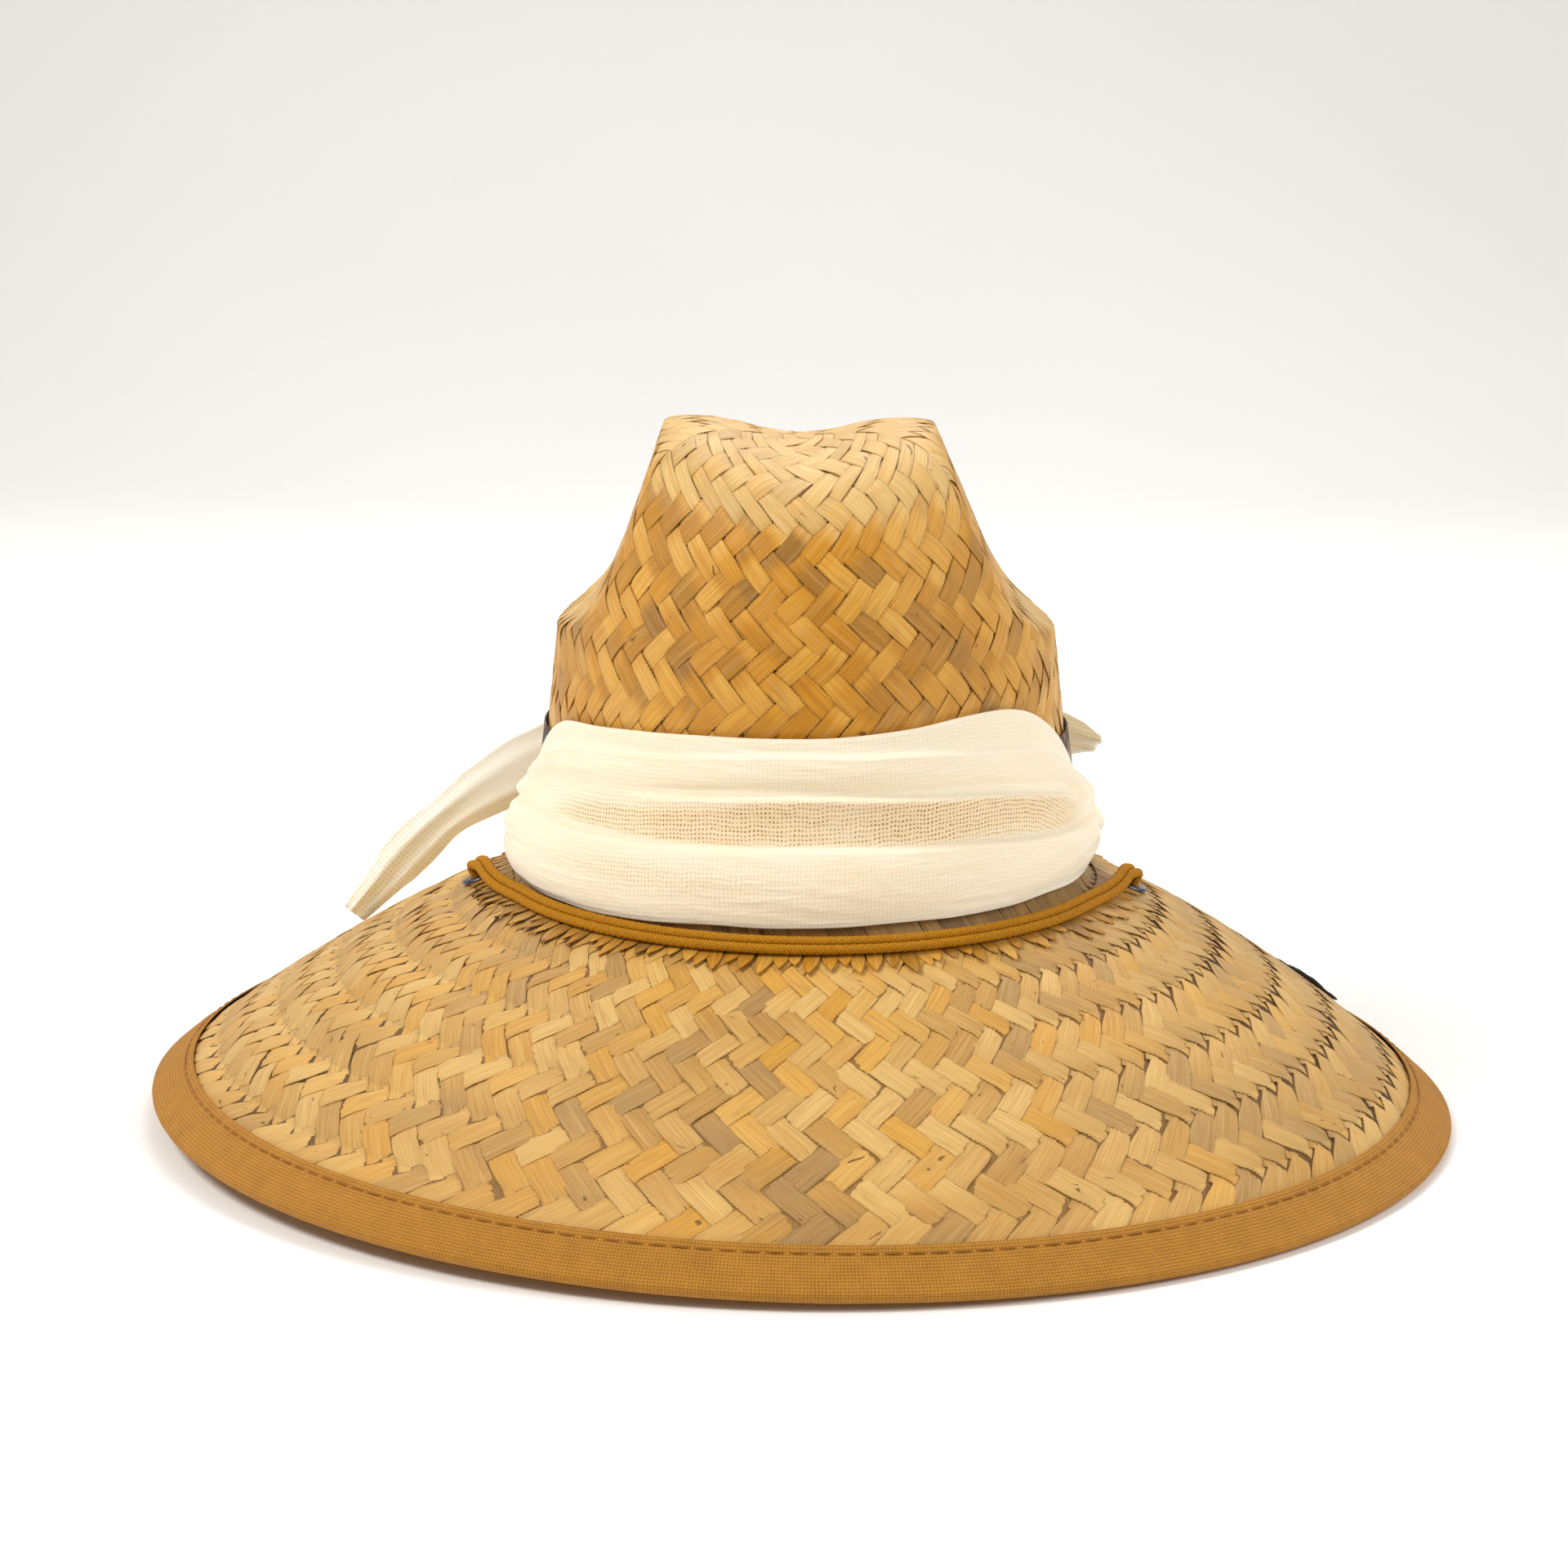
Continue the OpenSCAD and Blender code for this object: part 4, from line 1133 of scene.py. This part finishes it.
place(make_tail("scarf_short_end", SHORT_TAIL, 43), "tail_short", "gauze", TAILS_PAINTED_LIGHT_GAUZE, "scarf_tail_short")

# ---------- eyelets ----------

EYELET_X = (washer_lo[0] + washer_hi[0]) / 2 + 0.9
EYELET_S = (EYELET_X - BASE_HW) / (BRIM_HW - BASE_HW)
HOLE_R = 3.3
RIM_R, RIM_HALF = 4.7, 1.35          # middle and half width of the rolled rim
WASHER_R, WASHER_HALF = 4.9, 1.15
BARREL_T, BARREL_LOW = 0.5, -3.0


def eyelet_frame(side):
    """Centre of an eyelet on the brim's face, and its axes: outward, sideways and up; side is 1 or -1."""
    p, inner, outer = brim_at(math.pi * (side < 0), EYELET_S + np.array([0, -0.01, 0.01]))
    out = unit(outer - inner)
    n = np.cross(out, [0, 1, 0])
    n = n * np.sign(n[2])
    return p, np.array([out, np.cross(n, out), n])


def make_eyelets():
    """A rolled rim and barrel above the straw, and a washer below it, on each side."""
    rim = np.linspace(0, math.pi, 9)
    for side, word in ((-1, "left"), (1, "right")):
        p, turn = eyelet_frame(side)
        top = [(RIM_R + RIM_HALF * math.cos(a), 0.45 + 0.75 * math.sin(a)) for a in rim]
        barrel_r = HOLE_R + BARREL_T
        barrel = [(HOLE_R, 0.2), (HOLE_R, BARREL_LOW), (barrel_r, BARREL_LOW), (barrel_r, 0.2)]
        ring = lathe(f"eyelet_ring_{word}", top + barrel, p, turn)
        place(ring, "hat", "eyelet", METAL, f"eyelet_{word}")
        low = -STRAW_T - 0.35
        wash = [(WASHER_R + WASHER_HALF * math.cos(a), low - 0.55 * math.sin(a)) for a in rim[::-1]]
        wash += [(3.85, low + 0.02), (6.0, low + 0.02)]
        ring = lathe(f"eyelet_back_{word}", wash[::-1], p, turn)
        place(ring, "hat", "eyelet", METAL, f"eyelet_washer_{word}")


make_eyelets()

# ---------- braided cord ----------

CORD_D = 2.6             # diameter of one strand
STRAND = 1.375           # strand centre from the middle of the pair
YARNS = 6                # yarns that turn each way
LAY = 7.0                # length of one turn of a yarn
YARN_STEP = 0.42         # distance between a yarn's sections


def braid(paths, name):
    """Cords braided from yarns that turn both ways, along paths that are lists of points."""
    verts, faces, grain = [], [], []
    offset, sides = 0, 4
    for path in paths:
        path = resample(np.array(path), YARN_STEP)
        _, u, w = path_frames(path[None])
        length = np.arange(len(path)) * YARN_STEP
        for way, j in ((way, j) for way in (1, -1) for j in range(YARNS)):
            a = way * TAU * length / LAY + TAU * j / YARNS
            beat = np.cos(TAU * YARNS * length / LAY + (0 if j % 2 else math.pi))
            out = np.cos(a)[:, None] * u[0] + np.sin(a)[:, None] * w[0]
            yarn = path + (1.04 + way * 0.2 * beat)[:, None] * out
            t = unit(np.gradient(yarn, axis=0))
            side = unit(np.cross(t, out))
            up = np.cross(side, t)
            ring = [yarn + 0.48 * side, yarn + 0.4 * up, yarn - 0.48 * side, yarn - 0.3 * up]
            verts.append(np.stack(ring, 1).reshape(-1, 3))
            faces.append(tube_faces(len(yarn), sides) + offset)
            grain.append(stacked(length[:, None], np.arange(sides) / 2, offset * 0.001).reshape(-1, 3))
            offset += len(yarn) * sides
    return make_mesh(name, np.concatenate(verts), np.concatenate(faces), {"grain": np.concatenate(grain)})


REST_SHARE = 0.05        # where the front cord lies, as a share of the brim's width
REST_OFF = CORD_D / 2 + 0.7          # its middle above the brim
ARCH_H = 6.0             # height of its arch over each eyelet


def through_eyelet(side, layer, heights):
    """Points of one strand, inner (-1) or outer (1), at heights along an eyelet's axis."""
    centre, turn = eyelet_frame(side)
    return [centre + turn[2] * h + turn[0] * layer * STRAND for h in heights]


def front_cord(layer):
    """One strand across the front of the crown, from inside one eyelet to inside the other."""
    k = np.linspace(0.012, 0.988, 90)
    near = 1 - ease(np.sin(math.pi * k) * 2.2)
    th = mix(math.pi, TAU, k)
    p, _ = brim_frame(th, mix(REST_SHARE, EYELET_S, near))
    p = p + stacked(0, 0, REST_OFF + ARCH_H * near * near) + np.array([0, 0, 0.5])
    p = p + layer * STRAND * unit(stacked(0.7 * np.cos(th), 0.7 * np.sin(th), -0.75))
    left, right = (through_eyelet(side, layer, (-6.5, -3, 0, 3, 5.2)) for side in (-1, 1))
    return smooth_path(np.concatenate([left, p[2:-2], right[::-1]]), 0.8, 2)


LOOP_LENGTH = loop_hi[1] - 1
LOOP_FALL = (loop_hi[2] - loop_lo[2]) - 2 * STRAND - CORD_D
INTO_KNOT = 4            # what the loop's strands run on into the end knot


def loop_cord(side, layer):
    """One strand of the loop: down from the washer, back under the brim to the end knot."""
    start = through_eyelet(side, layer, (-3.0, -6.0))
    d = np.concatenate([np.linspace(5, 64, 20), np.linspace(70, LOOP_LENGTH + INTO_KNOT, 14)])
    x = side * mix(EYELET_X, STRAND, ease(d / 62))
    run = stacked(x, d, SWING_Z - LOOP_FALL * d / LOOP_LENGTH + layer * STRAND)
    bend = [[side * (EYELET_X + 0.5 * layer), 1.2 - layer * 0.8, SWING_Z + 2.4 + layer * 0.9]]
    return smooth_path(np.concatenate([start, bend, run]), 0.8, 3)


place(braid([front_cord(-1), front_cord(1)], "chin_cord_braid"), "hat", "cord", CORD, "chin_cord_front")
loop = braid([loop_cord(side, layer) for side in (-1, 1) for layer in (-1, 1)], "chin_loop_braid")
loop.data.materials.append(CORD)
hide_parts("chin_cord_loop")
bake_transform(loop)


def loop_frame():
    """Axes of the loop's straight part; the last one runs along it."""
    t = unit(np.array([0, loop_hi[1] - loop_lo[1] - 1, -LOOP_FALL]))
    x = np.array([1.0, 0, 0])
    return np.array([x, np.cross(t, x), t])


BEAD_R = 7.5             # radius of the sphere that the bead is turned from
BEAD_HALF = 7            # half of its length
BORE_R = 4.1


def make_bead():
    """Turned bead with two shallow grooves."""
    h = np.linspace(-BEAD_HALF, BEAD_HALF, 41)
    r = np.sqrt(BEAD_R**2 - h**2) - 0.35 * (bump_at(h, 2.2, 0.4) + bump_at(h, -2.2, 0.4))
    bore = [(BORE_R + 0.3, BEAD_HALF), (BORE_R, BEAD_HALF - 0.5), (BORE_R, 0.5 - BEAD_HALF),
            (BORE_R + 0.3, -BEAD_HALF)]
    profile = [*zip(np.maximum(r, BORE_R + 0.2), h), *bore]
    return lathe("slider_bead", profile, (bead_lo + bead_hi) / 2, loop_frame())


place(make_bead(), "slider", "bead", WOOD, "cord_slider")


def make_end_knot():
    """A tight overhand knot of the doubled cord."""
    a = np.linspace(0, TAU, 90, endpoint=False)
    local = stacked(np.sin(a) + 2 * np.sin(2 * a), np.cos(a) - 2 * np.cos(2 * a), -1.3 * np.sin(3 * a))
    path = (local * 0.92) @ loop_frame() + (end_lo + end_hi) / 2
    return braid([path[np.r_[0:90, 0:2]]], "cord_end_braid")


place(make_end_knot(), "cord_loop", "cord", CORD, "cord_end_knot")

# ---------- patch ----------

PATCH_TH, PATCH_SPAN = math.radians(24), math.radians(4.5)
PATCH_S = (0.74, 0.865)  # shares of the brim's width
PATCH_STITCHES = 9


def make_patch():
    """A small stiff patch whose short ends curl up."""
    rng = np.random.default_rng(3)
    i, j = np.linspace(-1, 1, 25)[:, None], np.linspace(0, 1, 17)[None]
    corner = 1 - 0.06 * np.maximum(0, np.abs(2 * j - 1) - 0.8) * 5 * np.abs(i)
    p, n = brim_frame(PATCH_TH + PATCH_SPAN * i * corner, mix(*PATCH_S, j))
    curl = 0.9 + 0.35 * smooth_noise(rng, (8, 8), (i + 1) * 3, j * 6) + 0.5 * ease((np.abs(i) - 0.7) / 0.3)
    top = p + n * (curl + 0.5)[..., None]
    low = (p + n * (curl - 0.1)[..., None])[:, ::-1]
    cloth = stacked(i * 15, np.concatenate([j, j[:, ::-1]], 1) * 20, 0)
    return sweep("brim_patch_cloth", np.concatenate([top, low], 1)[None], attributes={"cloth": cloth},
                 sharp=50, flip=True)


place(make_patch(), "hat", "patch", PATCH, "brim_patch")


def patch_stitch(name, s):
    """A row of stitches along the patch, at share s of the brim's width."""

    def point(turn, rise):
        p, n = brim_frame(PATCH_TH + PATCH_SPAN * 0.92 * (turn / TAU - 0.5) * 2, s)
        return p + n * (rise + 1.5)[..., None]

    return stitch_row(name, point, PATCH_STITCHES, 0.6, 0.22, start=0.2)


for word, s in (("in", PATCH_S[0] + 0.015), ("out", PATCH_S[1] - 0.015)):
    place(patch_stitch(f"patch_stitching_{word}", s), "hat", "thread", DARK_THREAD, "patch_stitches")

# ---------- floor, light and camera ----------


def backdrop():
    """A pale floor that curves up into a wall behind; light and sight pass through it from below."""
    floor_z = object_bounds()[0][2]
    mat = Nodes("pale_floor", roughness=0.9, specular=0.1)
    speck = mat.noise(mat.node("TexCoord").outputs["Object"], (3.0, 3.0, 3.0))
    mat.colour(mat.blend(speck, srgb("#F4F2EF"), srgb("#F9F8F6")))
    seen = mat.node("MixShader")
    below = mat.node("NewGeometry").outputs["Backfacing"]
    mat.link(mat.math("MAXIMUM", below, mat.node("LightPath").outputs["Is Shadow Ray"]), seen.inputs[0])
    mat.link(mat.bsdf.outputs[0], seen.inputs[1])
    mat.link(mat.node("BsdfTransparent").outputs[0], seen.inputs[2])
    mat.link(seen.outputs[0], mat.tree.nodes["Material Output"].inputs["Surface"])
    front, bend, radius, behind, top, half_width = -3000, 1500, 900, 2400, 4500, 4500
    a = np.linspace(0.1, math.pi / 2, 14)
    depth = np.concatenate([np.linspace(front, bend, 12), bend + radius * np.sin(a), [behind]])[:, None]
    height = np.concatenate([np.zeros(12), radius - radius * np.cos(a), [top]])[:, None]
    p = stacked(np.array([-half_width, half_width]), depth, height + floor_z / MM)
    i = np.arange(len(depth) - 1) * 2
    obj = make_mesh("floor", p.reshape(-1, 3), stacked(i, i + 1, i + 3, i + 2))
    obj.data.materials.append(mat.mat)


backdrop()


def add_object(name, data):
    obj = bpy.data.objects.new(name, data)
    bpy.context.scene.collection.objects.link(obj)
    return obj


def lamp(name, place_m, size, power, aim=(0, 0, 0.02), colour=(1, 1, 1)):
    """A round soft lamp that the camera doesn't see."""
    data = bpy.data.lights.new(name, "AREA")
    data.shape, data.size, data.energy, data.color = "DISK", size, power, colour
    obj = add_object(name, data)
    obj.location = place_m
    obj.rotation_euler = (Vector(aim) - Vector(place_m)).to_track_quat("-Z", "Y").to_euler()
    obj.visible_camera = False


lamp("key_light", (-0.95, -0.5, 1.15), 0.6, 16, colour=(1.0, 0.98, 0.95))
lamp("fill_light", (1.15, -0.5, 0.85), 1.0, 10)
lamp("back_light", (0.1, 1.0, 1.25), 1.0, 10)
lamp("floor_light", (0, 0, -0.9), 1.2, 3)
lamp("wall_light", (0, 0.8, 1.1), 1.6, 7, aim=(0, 2.4, 1.0))
world = bpy.data.worlds.new("studio")
world.use_nodes = True
sky = world.node_tree.nodes["Background"].inputs
sky["Color"].default_value = (1, 0.99, 0.97, 1)
sky["Strength"].default_value = 0.42
bpy.context.scene.world = world

ELEVATION = math.radians(12)
DISTANCE = 1.3455        # metres from the origin
FRAME_SPAN = 0.4968      # width of the view at the origin, in metres
SHIFT = (-0.0133, 0.0516)            # of the lens, as shares of the view's width
ROLL = math.radians(0.67)
SENSOR = 36              # millimetres
cam_data = bpy.data.cameras.new("camera")
cam_data.sensor_width = SENSOR
cam_data.lens = SENSOR * DISTANCE / FRAME_SPAN
cam_data.shift_x, cam_data.shift_y = SHIFT
camera = add_object("camera", cam_data)
camera.location = (0, -DISTANCE * math.cos(ELEVATION), DISTANCE * math.sin(ELEVATION))
look = (-Vector(camera.location)).to_track_quat("-Z", "Y")
camera.rotation_mode = "QUATERNION"
camera.rotation_quaternion = look @ Quaternion((0, 0, 1), ROLL)
bpy.context.scene.camera = camera
bpy.context.scene.view_settings.view_transform = "Standard"
